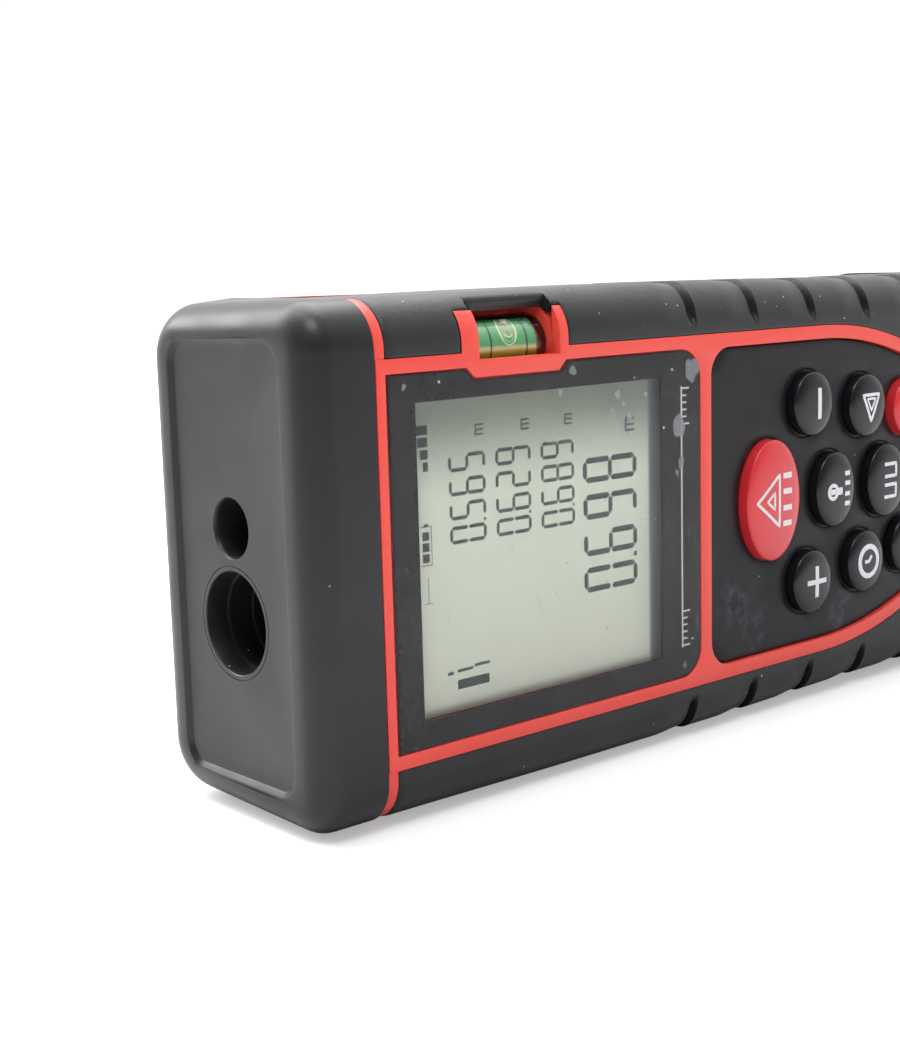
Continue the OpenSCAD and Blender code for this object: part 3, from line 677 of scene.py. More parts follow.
FINISHES = {
    "black_plastic": Surface(
        "black_plastic", CHARCOAL, 0.34, grain_pitch=0.2, grain_depth=0.007, dust=0.03, specular=0.36),
    "red_plastic": Surface(
        "red_plastic", RED, 0.38, drift=0.05, grain_pitch=0.3, grain_depth=0.002, specular=0.4),
    "grip_rubber": Surface(
        "grip_rubber", (0.0115, 0.0115, 0.0135), 0.44, drift=0.25, grain_pitch=0.2, grain_depth=0.03,
        dust=0.12, specular=0.4),
    "label_foil": Surface("label_foil", (0.42, 0.42, 0.42), 0.35, grain_depth=0.002),
    "window_acrylic": Clear("window_acrylic", (0.97, 0.98, 0.98), 0.02, 1.28),
    # The display's second tone is painted shade for its top.
    "lcd_glass": Display("lcd_glass", (0.53, 0.555, 0.455), (0.215, 0.235, 0.19), (0.13, 0.135, 0.15)),
    "white_plastic": Surface("white_plastic", (0.74, 0.74, 0.71), 0.4, drift=0.04, grain_depth=0.003),
    "light_guide": Surface("light_guide", (0.80, 0.84, 0.78), 0.25, drift=0.03, grain_depth=0.002),
    "polyimide": Surface("polyimide", (0.42, 0.18, 0.04), 0.25, drift=0.15, grain_depth=0.001),
    "keypad_rubber": Surface(
        "keypad_rubber", (0.0075, 0.0075, 0.0095), 0.4, drift=0.2, grain_pitch=0.25, grain_depth=0.006,
        dust=0.05, specular=0.22,
        patches=(
            Patch((55.5, 0.4, -10.5), 4.2),
            Patch((59.0, 0.4, -14.0), 3.4),
            Patch((74.0, 0.4, -14.5), 3.2),
        ),
    ),
    "red_key": Surface(
        "red_key", (0.58, 0.021, 0.029), 0.32, drift=0.05, grain_depth=0.001, coat=0.15, marks=0.04),
    "black_key": Surface(
        "black_key", (0.0055, 0.0055, 0.0075), 0.24, drift=0.1, grain_depth=0.001, marks=0.05,
        specular=0.36),
    "tinned_steel": Surface("tinned_steel", (0.62, 0.63, 0.64), 0.25, metallic=1.0, grain_depth=0.002),
    "green_laminate": Surface("green_laminate", (0.02, 0.16, 0.06), 0.3, drift=0.2, grain_pitch=0.5),
    "chip_epoxy": Surface("chip_epoxy", (0.02, 0.02, 0.022), 0.5),
    "clear_glass": Clear("clear_glass", (0.92, 0.96, 0.97), 0.0, 1.52),
    "filter_glass": Clear("filter_glass", (0.45, 0.02, 0.05), 0.0, 1.52),
    "brass": Surface("brass", (0.70, 0.50, 0.18), 0.25, metallic=1.0, grain_depth=0.002),
    "vial_acrylic": Clear("vial_acrylic", (0.97, 0.99, 0.93), 0.0, 1.4),
    "vial_liquid": Spirit("vial_liquid", (0.040, 0.30, 0.12), (0.34, 0.32, 0.03), 18.6),
    "cell_jacket": Surface("cell_jacket", (0.62, 0.45, 0.06), 0.28, drift=0.05, grain_depth=0.001),
    "foam": Surface("foam", (0.03, 0.03, 0.03), 0.9, drift=0.3, grain_pitch=0.4, grain_depth=0.08),
    "screw_steel": Surface("screw_steel", (0.42, 0.43, 0.44), 0.3, metallic=1.0, grain_depth=0.003),
}

EXTRA_FINISHES = {
    "border_print": Surface(
        "border_print", (0.007, 0.007, 0.0085), 0.14, drift=0.2, grain_depth=0.0, marks=0.06,
        specular=0.22),
    "key_ink": Surface("key_ink", INK, 0.45, drift=0.1, grain_depth=0.001),
    "ruler_ink": Surface("ruler_ink", (0.42, 0.43, 0.45), 0.5, drift=0.1, grain_depth=0.0),
    "segment_dark": Film("segment_dark", (0.05, 0.065, 0.095), 0.15),
    "window_film": Film("window_film", (0.62, 0.63, 0.62), 0.012, 0.14, 0.5),
    "film_patch": Film("film_patch", (0.34, 0.35, 0.37), 0.34, 0.2, 0.5),
    "bubble_core": Surface(
        "bubble_core", (0.22, 0.33, 0.20), 0.06, drift=0.3, grain_depth=0.0, coat=1.0, marks=0.0),
    # Painted light on the bubble: its highlight spot and its bright rim.
    "bubble_painted_glint": Surface(
        "bubble_painted_glint", (0.85, 0.88, 0.85), 0.1, drift=0.05, grain_depth=0.0, coat=1.0, marks=0.0),
    "bubble_edge_painted_highlight": Surface(
        "bubble_edge_painted_highlight", (0.55, 0.74, 0.42), 0.1, drift=0.1, grain_depth=0.0, coat=1.0, marks=0.0),
    "ring_ink": Surface("ring_ink", (0.01, 0.012, 0.01), 0.4, grain_depth=0.0),
}


class Paints:
    """Every finish as a material, made when it is first asked for."""

    def __init__(self, place: Place) -> None:
        """Builds the shared effects that the finishes use."""
        self.place = place
        self.effects = Effects()
        self.made: dict[str, bpy.types.Material] = {}

    def __getitem__(self, name: str) -> bpy.types.Material:
        """Gives the material of a finish."""
        if name not in self.made:
            finish = FINISHES.get(name) or EXTRA_FINISHES[name]
            self.made[name] = finish.material(self.effects, self.place)
        return self.made[name]


# ---------------------------------------------------------------- sub-assemblies


def body_of_node(node: str) -> str:
    """Finds the body that a CAD node moves with."""
    groups = frame["record"]["behaviour"]["bodies"]
    return next(body for body, members in groups.items() if node in members)


def slot_of_node(node: str) -> str:
    """Finds the record's material slot of a CAD node."""
    return next(part["material_slot"] for part in frame["record"]["subparts"] if part["node"] == node)


@dataclass
class Assembly:
    """What every sub-assembly has: its place and the paints."""

    place: Place
    paints: Paints

    def mount(self, piece: bpy.types.Object, body: str, slot: str, *nodes: str) -> bpy.types.Object:
        """Puts a piece on a body and hides the CAD nodes it stands for."""
        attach(piece, body)
        if nodes:
            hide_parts(*nodes)
        LOG.info("%s rides on %s, %d faces", piece.name, body, len(piece.data.polygons))
        return piece

    def stand_in(self, piece: bpy.types.Object, node: str) -> bpy.types.Object:
        """Mounts a piece that replaces one CAD node and takes over its body."""
        return self.mount(piece, body_of_node(node), slot_of_node(node), node)


@dataclass
class Refined(Assembly):
    """CAD nodes whose shape is right, copied with their hard edges rounded."""

    segments: int = 3
    angle: float = 38
    taper_x0: float = 8.35
    taper_x1: float = 104.0

    def build(self, node: str, width: float, narrow: float = 1.0) -> bpy.types.Object:
        """Copies a node, rounds its edges and mounts the copy.

        Args:
            node: The CAD node that is copied.
            width: How wide the rounding is, in millimetres.
            narrow: The share of its width that the copy keeps at the tail; it keeps all
                of it behind the nose cap.

        Returns:
            The mounted copy.
        """
        mesh = frame["nodes"][node].data.copy()
        mesh.name = node + "_moulding"
        mesh.materials.clear()
        mesh.materials.append(self.paints[slot_of_node(node)])
        work = bmesh.new()
        work.from_mesh(mesh)
        bmesh.ops.remove_doubles(work, verts=work.verts, dist=2e-6)
        bmesh.ops.dissolve_limit(
            work, angle_limit=math.radians(0.5), verts=work.verts, edges=work.edges)
        start, end = self.place.point(self.taper_x0, 0, 0), self.place.point(self.taper_x1, 0, 0)
        for corner in work.verts:
            along = min(max((corner.co.x - start.x) / (end.x - start.x), 0.0), 1.0)
            corner.co.z = start.z + (corner.co.z - start.z) * (1 - (1 - narrow) * along)
        work.to_mesh(mesh)
        work.free()
        piece = bpy.data.objects.new(mesh.name, mesh)
        bpy.context.scene.collection.objects.link(piece)
        bevel = piece.modifiers.new("edges", "BEVEL")
        bevel.limit_method = "ANGLE"
        bevel.angle_limit = math.radians(self.angle)
        bevel.width = width * MM
        bevel.segments = self.segments
        bake_modifiers(piece)
        soften(piece.data, self.angle)
        return self.stand_in(piece, node)


@dataclass
class NoseCap(Assembly):
    """The black cap at the laser end, with its sunk panel and its two holes."""

    length: float = 7.3
    half: float = 23.6
    back: float = 26.2
    rim_r: float = 3.0
    corner_radii: tuple[float, float, float, float] = (4.5, 5.0, 5.0, 4.5)
    wall: float = 2.0
    panel_low: Flat = (4.3, -20.3)
    panel_high: Flat = (21.8, 20.3)
    panel_r: float = 2.5
    panel_depth: float = 0.45
    hole_y: float = 13.2
    laser_z: float = 3.26
    laser_r: float = 2.84
    receiver_z: float = -5.47
    receiver_r: float = 4.85
    back_draft: float = 0.45
    side_draft: float = 0.026

    def outline(self, x: float, inset: float) -> list[Point]:
        """Gives the body's cross-section at x, drawn in by inset; its back half has some draft."""
        radii = [r - inset for r in self.corner_radii]
        flat = rounded_box((inset, inset - self.half), (self.back - inset, self.half - inset), radii)
        lead = 1 - ease(x, 0, self.length)
        points = []
        for y, z in flat:
            depth = ease(y, self.corner_radii[0], self.back)
            points.append((x, y - self.back_draft * lead * depth, z * (1 - self.side_draft * lead * depth)))
        return points

    def panel(self, x: float, inset: float) -> list[Point]:
        """Gives the sunk panel's outline at x, drawn in by inset."""
        low = (self.panel_low[0] + inset, self.panel_low[1] + inset)
        high = (self.panel_high[0] - inset, self.panel_high[1] - inset)
        return [(x, y, z) for y, z in rounded_box(low, high, [self.panel_r - inset] * 4)]

    def shell(self) -> bpy.types.Object:
        """Makes the hollow cap without its holes."""
        solid = Solid("nose_cap_moulding", self.place)
        rim = [math.radians(90 * i / 12) for i in range(13)]
        rings = [self.outline(self.length - 0.02, self.wall), self.outline(self.length, 0.15)]
        rings.append(self.outline(self.length - 0.15, 0.0))
        rings += [
            self.outline(self.rim_r * (1 - math.sin(a)), self.rim_r * (1 - math.cos(a))) for a in rim
        ]
        slope = ((0.0, -0.16), (0.02, -0.05), (0.07, 0.03), (0.36, 0.42), (0.43, 0.5))
        rings += [self.panel(x, inset) for x, inset in (*slope, (self.panel_depth, 0.62))]
        solid.loft([self.outline(self.wall, self.wall)] + rings)
        return solid.build()

    def sleeve(self, z: float, radius: float) -> bpy.types.Object:
        """Makes the plug that a hole's wall is cut from."""
        solid = Solid("sleeve", self.place)
        solid.loft(
            [
                [(x, self.hole_y + y, z + w) for y, w in arc((0, 0), radius + 1.2, 0, 354, 59)]
                for x in (1.0, self.length - 0.05)
            ]
        )
        return solid.build()

    def cutter(self, z: float, radius: float, steps: Sequence[Flat]) -> bpy.types.Object:
        """Makes a hole's cutter from steps of (x, how much wider than the hole)."""
        solid = Solid("cutter", self.place)
        solid.loft(
            [
                [(x, self.hole_y + y, z + w) for y, w in arc((0, 0), radius + wider, 0, 356.25, 95)]
                for x, wider in steps
            ]
        )
        return solid.build()

    def ring_groove(self) -> bpy.types.Object:
        """Makes the cutter of the hairline ring round the receiver's hole."""
        solid = Solid("groove", self.place)
        floor, r = self.panel_depth, self.receiver_r + 0.34
        centre = (0.0, self.hole_y, self.receiver_z)
        profile = [(floor - 0.2, r), (floor - 0.2, r + 0.14), (floor + 0.1, r + 0.1), (floor + 0.1, r + 0.04)]
        solid.turn(centre, profile, 96)
        return solid.build()

    def build(self) -> None:
        """Makes the cap, drills it and puts it in the nose cap's place."""
        cap = self.shell()
        floor, end = self.panel_depth, self.length + 1
        for z, radius in ((self.laser_z, self.laser_r), (self.receiver_z, self.receiver_r)):
            combine(cap, self.sleeve(z, radius), "UNION")
        laser = [(floor - 0.3, 0.12), (floor, 0.02), (floor + 0.1, -0.06), (floor + 0.3, -0.13)]
        laser += [(floor + 0.6, -0.18), (5.6, -0.2), (5.65, -0.7), (end, -0.7)]
        combine(cap, self.cutter(self.laser_z, self.laser_r, laser), "DIFFERENCE")
        receiver = [(floor - 0.3, 0.14), (floor, 0.02), (floor + 0.06, -0.05), (floor + 0.2, -0.1)]
        receiver += [(2.7, -0.12), (2.75, -0.42), (5.2, -0.44), (5.25, -0.8), (end, -0.8)]
        combine(cap, self.cutter(self.receiver_z, self.receiver_r, receiver), "DIFFERENCE")
        combine(cap, self.ring_groove(), "DIFFERENCE")
        soften(cap.data, 28)
        cap.data.materials.clear()
        cap.data.materials.append(self.paints["black_plastic"])
        self.stand_in(cap, "nose_cap")


@dataclass
class KeypadShape:
    """The keypad's outline: straight sides, long arcs and a round end."""

    x0: float = 51.06
    half: float = 16.8
    corner_r: float = 2.8
    arc_x: float = 70.0
    arc_r: float = 47.0
    end_r: float = 12.0
    band: float = 1.5

    @property
    def offset(self) -> float:
        """How far the long arcs' centres lie beyond the centre line."""
        return self.arc_r - self.half

    @property
    def end_x(self) -> float:
        """Where the round end's centre lies."""
        return self.arc_x + math.sqrt((self.arc_r - self.end_r) ** 2 - self.offset**2)

    @property
    def turn(self) -> float:
        """Angle in degrees that each long arc turns through."""
        return math.degrees(math.acos((self.end_x - self.arc_x) / (self.arc_r - self.end_r)))

    def half_at(self, x: float, grow: float) -> float:
        """Gives half the outline's width at x, grown by a distance."""
        if x <= self.arc_x:
            return self.half + grow
        meet = self.arc_x + (self.arc_r + grow) * math.cos(math.radians(self.turn))
        if x <= meet:
            return math.sqrt((self.arc_r + grow) ** 2 - (x - self.arc_x) ** 2) - self.offset
        return math.sqrt(max((self.end_r + grow) ** 2 - (x - self.end_x) ** 2, 0.0))

    def outline(self, grow: float) -> list[Flat]:
        """Gives the whole outline, grown by a distance."""
        r = self.corner_r + grow
        corner = (self.x0 - grow + r, self.half + grow - r)
        upper = arc(corner, r, 180, 90, 10)
        upper += spread_line(corner[0], self.arc_x, self.half + grow)
        upper += arc((self.arc_x, -self.offset), self.arc_r + grow, 90, self.turn, 16)
        upper += arc((self.end_x, 0), self.end_r + grow, self.turn, 0, 14)[1:-1]
        lower = [(x, -z) for x, z in reversed(upper)]
        return upper + [(self.end_x + self.end_r + grow, 0.0)] + lower


def spread_line(start: float, end: float, z: float) -> list[Flat]:
    """Gives points along a straight side, without its two ends."""
    return [(x, z) for x in spread(start, end, 1.0)[1:]]


@dataclass
class Grip(Assembly):
    """A ribbed rubber skin over one long side, lapping on to the display face."""

    side: int = 1
    x0: float = 8.35
    x1: float = 104.0
    half: float = 24.0
    corner_r: float = 4.5
    draft: float = 0.018
    end_y: float = 20.6
    groove_x: float = 48.8
    pitch: float = 9.85
    grooves: int = 5
    depth: float = 0.8
    slant: float = 0.287
    cut_x0: float = 17.1
    cut_x1: float = 30.5
    well_x0: float = 19.2
    well_x1: float = 29.4
    leg_turn: float = 41.0
    lip_turn: float = 55.0
    scale_l: float = 5.0
    nose_rim: float = 0.7
    tail_rim: float = 0.2
    band_rim: float = 0.22
    back_rim: float = 0.45
    nose_waist: float = 0.42
    display_rise: float = 0.17
    keypad_waist: float = 0.4
    lean_start: Flat = (36.0, 47.0)
    lean_end: float = 92.0

    def columns(self) -> list[float]:
        """Gives the columns' places along the body, closer where the surface turns."""
        fine = [0.0, 0.04, 0.12, 0.25, 0.45, 0.8]
        marks = [self.x0 + f for f in fine]
        marks += spread(self.x0 + 1.4, self.cut_x0 - 0.8, 0.9)
        marks += [self.cut_x0 - f for f in reversed(fine)]
        marks += spread(self.cut_x0 + 0.5, self.well_x0 - 0.8, 0.5)
        marks += [self.well_x0 - f for f in reversed(fine)]
        marks += spread(self.well_x0 + 1, self.well_x1 - 0.6, 1.0)
        marks += [self.well_x1 + f for f in fine[:5]]
        marks += [self.cut_x1 - 0.3] + [self.cut_x1 + f for f in fine]
        marks += spread(self.cut_x1 + 1.6, self.groove_x - self.scale_l, 1.1)
        for i in range(self.grooves):
            wall = self.groove_x + i * self.pitch
            marks += spread(wall - self.scale_l, wall - 1.6, 0.42)
            marks += [wall - f for f in (1.6, 1.35, 1.15, 0.98, 0.8, 0.55, 0.3, 0.16, 0.07, 0.0)]
            marks += [wall + f for f in (0.05, 0.14, 0.3, 0.6)]
            if i + 1 < self.grooves:
                marks += spread(wall + 1.1, wall + self.pitch - self.scale_l, 0.8)
        last = self.groove_x + (self.grooves - 1) * self.pitch
        tip = KeypadShape().end_x + KeypadShape().end_r + KeypadShape().band
        marks += spread(last + 1.1, tip - 4, 0.7)
        marks += [tip - 4 * (1 - math.sin(math.radians(a))) for a in range(0, 91, 6)]
        marks += spread(tip + 0.2, self.x1 - 0.2, 0.5) + [self.x1 - 0.1, self.x1]
        return marks

    def rows(self) -> list[tuple[str, float]]:
        """Gives the rows across the skin: over the face, round the corner, down the side."""
        face = [("face", f) for f in (0.0, 0.03, 0.09, 0.2, 0.35, 0.5, 0.65, 0.8, 0.92)]
        turns = [0, 6, 13, 20, 27, 34, 38]
        turns += [self.leg_turn + f for f in (0, 1, 3, 6, 10)]
        turns += [self.lip_turn + f for f in (0, 1, 2.5, 5, 8, 12, 17, 23, 29)] + [90]
        corner = [("corner", float(turn)) for turn in turns]
        side = [("side", y) for y in spread(self.corner_r + 0.8, self.end_y - 0.8, 1.0)]
        side += [("side", self.end_y - f) for f in (0.8, 0.45, 0.25, 0.12, 0.04, 0.0)]
        return face + corner + side

    def groove(self, x: float) -> float:
        """Gives how deep the scales' surface lies at a column, from 0 to 1."""
        for i in range(self.grooves):
            before = self.groove_x + i * self.pitch - x
            if -0.05 <= before <= self.scale_l:
                steep = ease(before, -0.05, 0.16)
                shoulder = 1 - ease(before, 0.4, 1.3) * 0.7 - ease(before, 1.2, 4.8) * 0.3
                return steep * shoulder
        return 0.0

    def spot(self, row: tuple[str, float], x: float, outer: bool) -> Point:
        """Gives a point of the outer or the inner surface."""
        kind, value = row
        inner_z = self.band_half(x)
        half = self.half - self.waist(x)
        centre_z = half - self.corner_r
        drop = rim_drop(x - self.x0, self.nose_rim) + rim_drop(self.x1 - x, self.tail_rim)
        if kind == "face":
            y, z, way = 0.0, inner_z + value * (centre_z - inner_z), (-1.0, 0.0)
            drop += rim_drop(z - inner_z, self.band_rim)
            travel = z - centre_z
        elif kind == "corner":
            a = math.radians(value)
            y, z = self.corner_r * (1 - math.cos(a)), centre_z + self.corner_r * math.sin(a)
            way = (-math.cos(a), math.sin(a))
            travel = self.corner_r * a
        else:
            y, z, way = value, half - self.draft * (value - self.corner_r), (0.0, 1.0)
            drop += rim_drop(self.end_y - y, self.back_rim)
            travel = value + 2
        drop += self.depth * self.groove(x) * ease(travel, -0.3, 1.6) * (1 - 0.35 * ease(travel, 8, 14))
        if self.side > 0 and self.cut_x0 - 1 < x < self.cut_x1 + 1:
            drop += self.cut_drop(x, value if kind == "corner" else 90.0 * (kind == "side"))
        if not outer:
            drop = SKIN - 0.03
        y, z = y - way[0] * drop, z - way[1] * drop
        lean = self.slant * ease(x, *self.lean_start) * (1 - ease(x, self.lean_end, self.x1))
        return (x + lean * y, y, self.side * z)

    def waist(self, x: float) -> float:
        """Gives how much narrower than the tail the skin is at x."""
        rise = self.display_rise * ease(x, self.x0, 34)
        return self.nose_waist - rise + self.keypad_waist * ease(x, 48, 84)

    def cut_drop(self, x: float, turn: float) -> float:
        """Gives how far the edges round the vial's frame are rounded over.

        Args:
            x: The place along the body.
            turn: The place round the corner in degrees, 0 on the face and 90 on the side.
        """
        inside = self.cut_x0 <= x <= self.cut_x1
        if turn < self.leg_turn:
            return 0.0 if inside else rim_drop(max(self.cut_x0 - x, x - self.cut_x1), 0.3)
        over_well = self.well_x0 <= x <= self.well_x1
        start = self.lip_turn if over_well else self.leg_turn
        beyond = math.radians(turn - start) * self.corner_r
        if over_well:
            return rim_drop(beyond, 0.75) if beyond >= 0 else 0.0
        beside = max(self.well_x0 - x, x - self.well_x1)
        edge = rim_drop(beyond, 0.3) if inside else 0.0
        return max(edge, rim_drop(beside, 0.3) if turn < self.lip_turn else 0.0)

    def band_half(self, x: float) -> float:
        """Gives where the red band's outer edge lies at x."""
        shape = KeypadShape()
        return shape.half_at(x, shape.band)

    def build(self) -> None:
        """Makes the skin and puts it in the CAD grip's place."""
        node = "right_grip" if self.side > 0 else "left_grip"
        solid = Solid(node + "_rubber", self.place)
        columns, rows = self.columns(), self.rows()

        def kept(i: int, j: int) -> bool:
            """Leaves out the cells over the vial and over its frame's legs."""
            middle = (columns[j] + columns[j + 1]) / 2
            if self.side < 0 or not self.cut_x0 < middle < self.cut_x1:
                return True
            kind, value = rows[i]
            turn = {"face": 0.0, "corner": value, "side": 90.0}[kind]
            over_well = self.well_x0 < middle < self.well_x1
            return turn >= (self.lip_turn if over_well else self.leg_turn) - 0.01

        outer = [[self.spot(row, x, True) for x in columns] for row in rows]
        inner = [[self.spot(row, x, False) for x in columns] for row in rows]
        solid.grids(outer, inner, kept)
        self.stand_in(solid.build(self.paints["grip_rubber"], 50), node)


@dataclass(frozen=True)
class Key:
    """One key's place and half sizes on the keypad, in millimetres."""

    node: str
    x: float
    z: float
    half_x: float
    half_z: float


@dataclass
class Keypad(Assembly):
    """The rubber panel with its domed keys and their printed marks."""

    face_y: float = 0.4
    back_y: float = 1.6
    gap: float = 0.2
    proud: float = 0.96
    shoulder_y: float = -0.4
    flange: float = 0.5
    slim: float = 0.96
    shift: float = 0.3
    sides: int = 72
    fullness: float = 3.2
    stem_r: float = 1.5
    stem_y: float = 3.3
    flange_y: float = 1.85
    flange_t: float = 0.6
    dip: float = 0.12
    dip_reach: float = 1.5
    mesh_step: float = 0.7

    NAMES = ("measure", "minus", "plus", "light", "angle", "history", "area", "off", "reference")

    def keys(self) -> list[Key]:
        """Reads each key's place from the frame; the flange behind the panel is its widest part."""
        found = []
        for name in self.NAMES:
            low, high = self.place.box("key_" + name)
            middle, size = (low + high) / 2, (high - low) / 2
            half_x, half_z = self.slim * (size.x - self.flange), size.z - self.flange
            found.append(Key("key_" + name, middle.x + self.shift, middle.z, half_x, half_z))
        return found

    def oval(self, key: Key, grow: float, share: float = 1.0) -> list[Flat]:
        """Gives a key's outline, grown by a distance and scaled by a share."""
        a, b = (key.half_x + grow) * share, (key.half_z + grow) * share
        return [(key.x + a * math.cos(t), key.z + b * math.sin(t)) for t in circle(self.sides)]

    def dome(self, key: Key, x: float, z: float) -> float:
        """Gives the height in y of a key's top at a point."""
        share = math.hypot((x - key.x) / key.half_x, (z - key.z) / key.half_z)
        lift = max(1 - min(share, 1.0) ** self.fullness, 0.0) ** 0.5
        return self.shoulder_y - (self.proud + self.shoulder_y) * lift

    def dish(self, keys: Sequence[Key], x: float, z: float) -> float:
        """Gives how far the panel dips round the keys at a point."""
        dip = 0.0
        for key in keys:
            share = math.hypot((x - key.x) / key.half_x, (z - key.z) / key.half_z)
            away = (share - 1) * min(key.half_x, key.half_z)
            dip = max(dip, self.dip * (1 - ease(away, 0.1, self.dip_reach)))
        return dip

    def build_panel(self, keys: Sequence[Key]) -> None:
        """Makes the panel with its key holes, rounded edges and dimples."""
        shape = KeypadShape()
        rims = [(0.0, 0.22), (0.05, 0.09), (0.2, 0.0)]
        points: list[Vector] = []
        heights: list[float] = []
        edges: list[tuple[int, int]] = []

        def ring(outline: Sequence[Flat], drop: float) -> None:
            """Adds one closed ring that the triangles must follow."""
            first, count = len(points), len(outline)
            points.extend(Vector(p) for p in outline)
            heights.extend([drop] * count)
            edges.extend((first + i, first + (i + 1) % count) for i in range(count))

        for inset, drop in rims:
            ring(shape.outline(-inset - 0.04), drop)
            for key in keys:
                ring(self.oval(key, self.gap + inset), drop)
        step, margin, corner_w, key_margin = self.mesh_step, 0.5, 2.6, 0.7
        columns, rows = int(49 / step), 24
        for i in range(columns):
            for j in range(-rows, rows + 1):
                x, z = shape.x0 + 0.4 + i * step, j * step
                free = abs(z) < shape.half_at(x, -margin) and x < shape.end_x + shape.end_r - margin
                corner = x < shape.x0 + corner_w and abs(z) > shape.half - corner_w
                clear = all(
                    math.hypot((x - k.x) / (k.half_x + key_margin), (z - k.z) / (k.half_z + key_margin)) > 1
                    for k in keys
                )
                if free and clear and not corner:
                    points.append(Vector((x, z)))
                    heights.append(0.0)
        flat, _, triangles, origins, _, _ = delaunay_2d_cdt(points, edges, [], 2, 1e-6)
        solid = Solid("keypad_panel_rubber", self.place)
        drops = [heights[o[0]] if o else 0.0 for o in origins]
        tops = solid.add(
            (p.x, self.face_y + drop + self.dish(keys, p.x, p.y), p.y) for p, drop in zip(flat, drops))
        bottoms = solid.add((p.x, self.back_y, p.y) for p in flat)
        seen: dict[tuple[int, int], int] = {}
        for a, b, c in triangles:
            solid.faces.append([tops[a], tops[b], tops[c]])
            solid.faces.append([bottoms[c], bottoms[b], bottoms[a]])
            for edge in ((a, b), (b, c), (c, a)):
                seen[edge] = seen.get(edge, 0) + 1
        for a, b in seen:
            if (b, a) not in seen:
                solid.faces.append([tops[a], bottoms[a], bottoms[b], tops[b]])
        self.stand_in(solid.build(self.paints["keypad_rubber"], 50), "keypad_panel")

    def build_key(self, key: Key) -> bpy.types.Object:
        """Makes a key: stem, flange, shaft and dome in one closed solid."""
        solid = Solid(key.node + "_cap", self.place)
        stem = Key(key.node, key.x, key.z, self.stem_r, self.stem_r)
        front, back = self.flange_y, self.flange_y + self.flange_t
        rings = [(stem, 0.0, self.stem_y), (stem, 0.0, back)]
        rings += [(key, self.flange, back), (key, self.flange, front), (key, 0.0, front)]
        lofted = [[(x, y, z) for x, z in self.oval(k, grow)] for k, grow, y in rings]
        shares = [1.0, 0.995, 0.98, 0.955, 0.92, 0.87, 0.8, 0.71, 0.6, 0.48, 0.35, 0.22, 0.1]
        for share in shares:
            lofted.append([(x, self.dome(key, x, z), z) for x, z in self.oval(key, 0.0, share)])
        solid.loft(lofted)
        piece = solid.build(self.paints[slot_of_node(key.node)], 50)
        return self.stand_in(piece, key.node)

    def stroke(
        self, solid: Solid, key: Key, line: Sequence[Flat], width: float, closed: bool = False
    ) -> None:
        """Lays one printed line on a key's dome.

        Args:
            solid: The solid that all of a key's print goes into.
            key: The key that is printed on.
            line: Points of the line from the key's middle, the first along its reading
                direction and the second upwards.
            width: The line's width.
            closed: Whether the line ends where it starts.
        """
        path = list(line) + ([line[0]] if closed else [])
        dense = [path[0]]
        for (a, b), (c, d) in zip(path, path[1:]):
            count = max(1, round(math.hypot(c - a, d - b) / 0.3))
            dense += [(a + (c - a) * i / count, b + (d - b) * i / count) for i in range(1, count + 1)]
        lefts, rights = [], []
        last = len(dense) - 1
        for i, (u, v) in enumerate(dense):
            before = dense[i - 1] if i else (dense[-2] if closed else dense[0])
            after = dense[i + 1] if i < last else (dense[1] if closed else dense[-1])
            way = Vector((after[0] - before[0], after[1] - before[1])).normalized() * width / 2
            lefts.append((u - way.y, v + way.x))
            rights.append((u + way.y, v - way.x))

        def row(side: Sequence[Flat], lift: float) -> list[int]:
            """Adds one edge of the line at a height over the dome."""
            spots = [(key.x - self.shift - v, key.z + u) for u, v in side]
            return solid.add((x, self.dome(key, x, z) - lift, z) for x, z in spots)

        strips = [row(lefts, 0.02), row(rights, 0.02), row(rights, -0.05), row(lefts, -0.05)]
        for first, second in zip(strips, strips[1:] + strips[:1]):
            solid.bridge(first, second, closed=False)
        if not closed:
            solid.faces.append([strip[0] for strip in strips])
            solid.faces.append([strip[-1] for strip in strips])

    def ticks(
        self, middle: float, length: float, places: Sequence[float], width: float
    ) -> list[tuple[list[Flat], float, bool]]:
        """Gives a row of short upright bars about a middle height."""
        half = length / 2
        return [([(u, middle - half), (u, middle + half)], width, False) for u in places]

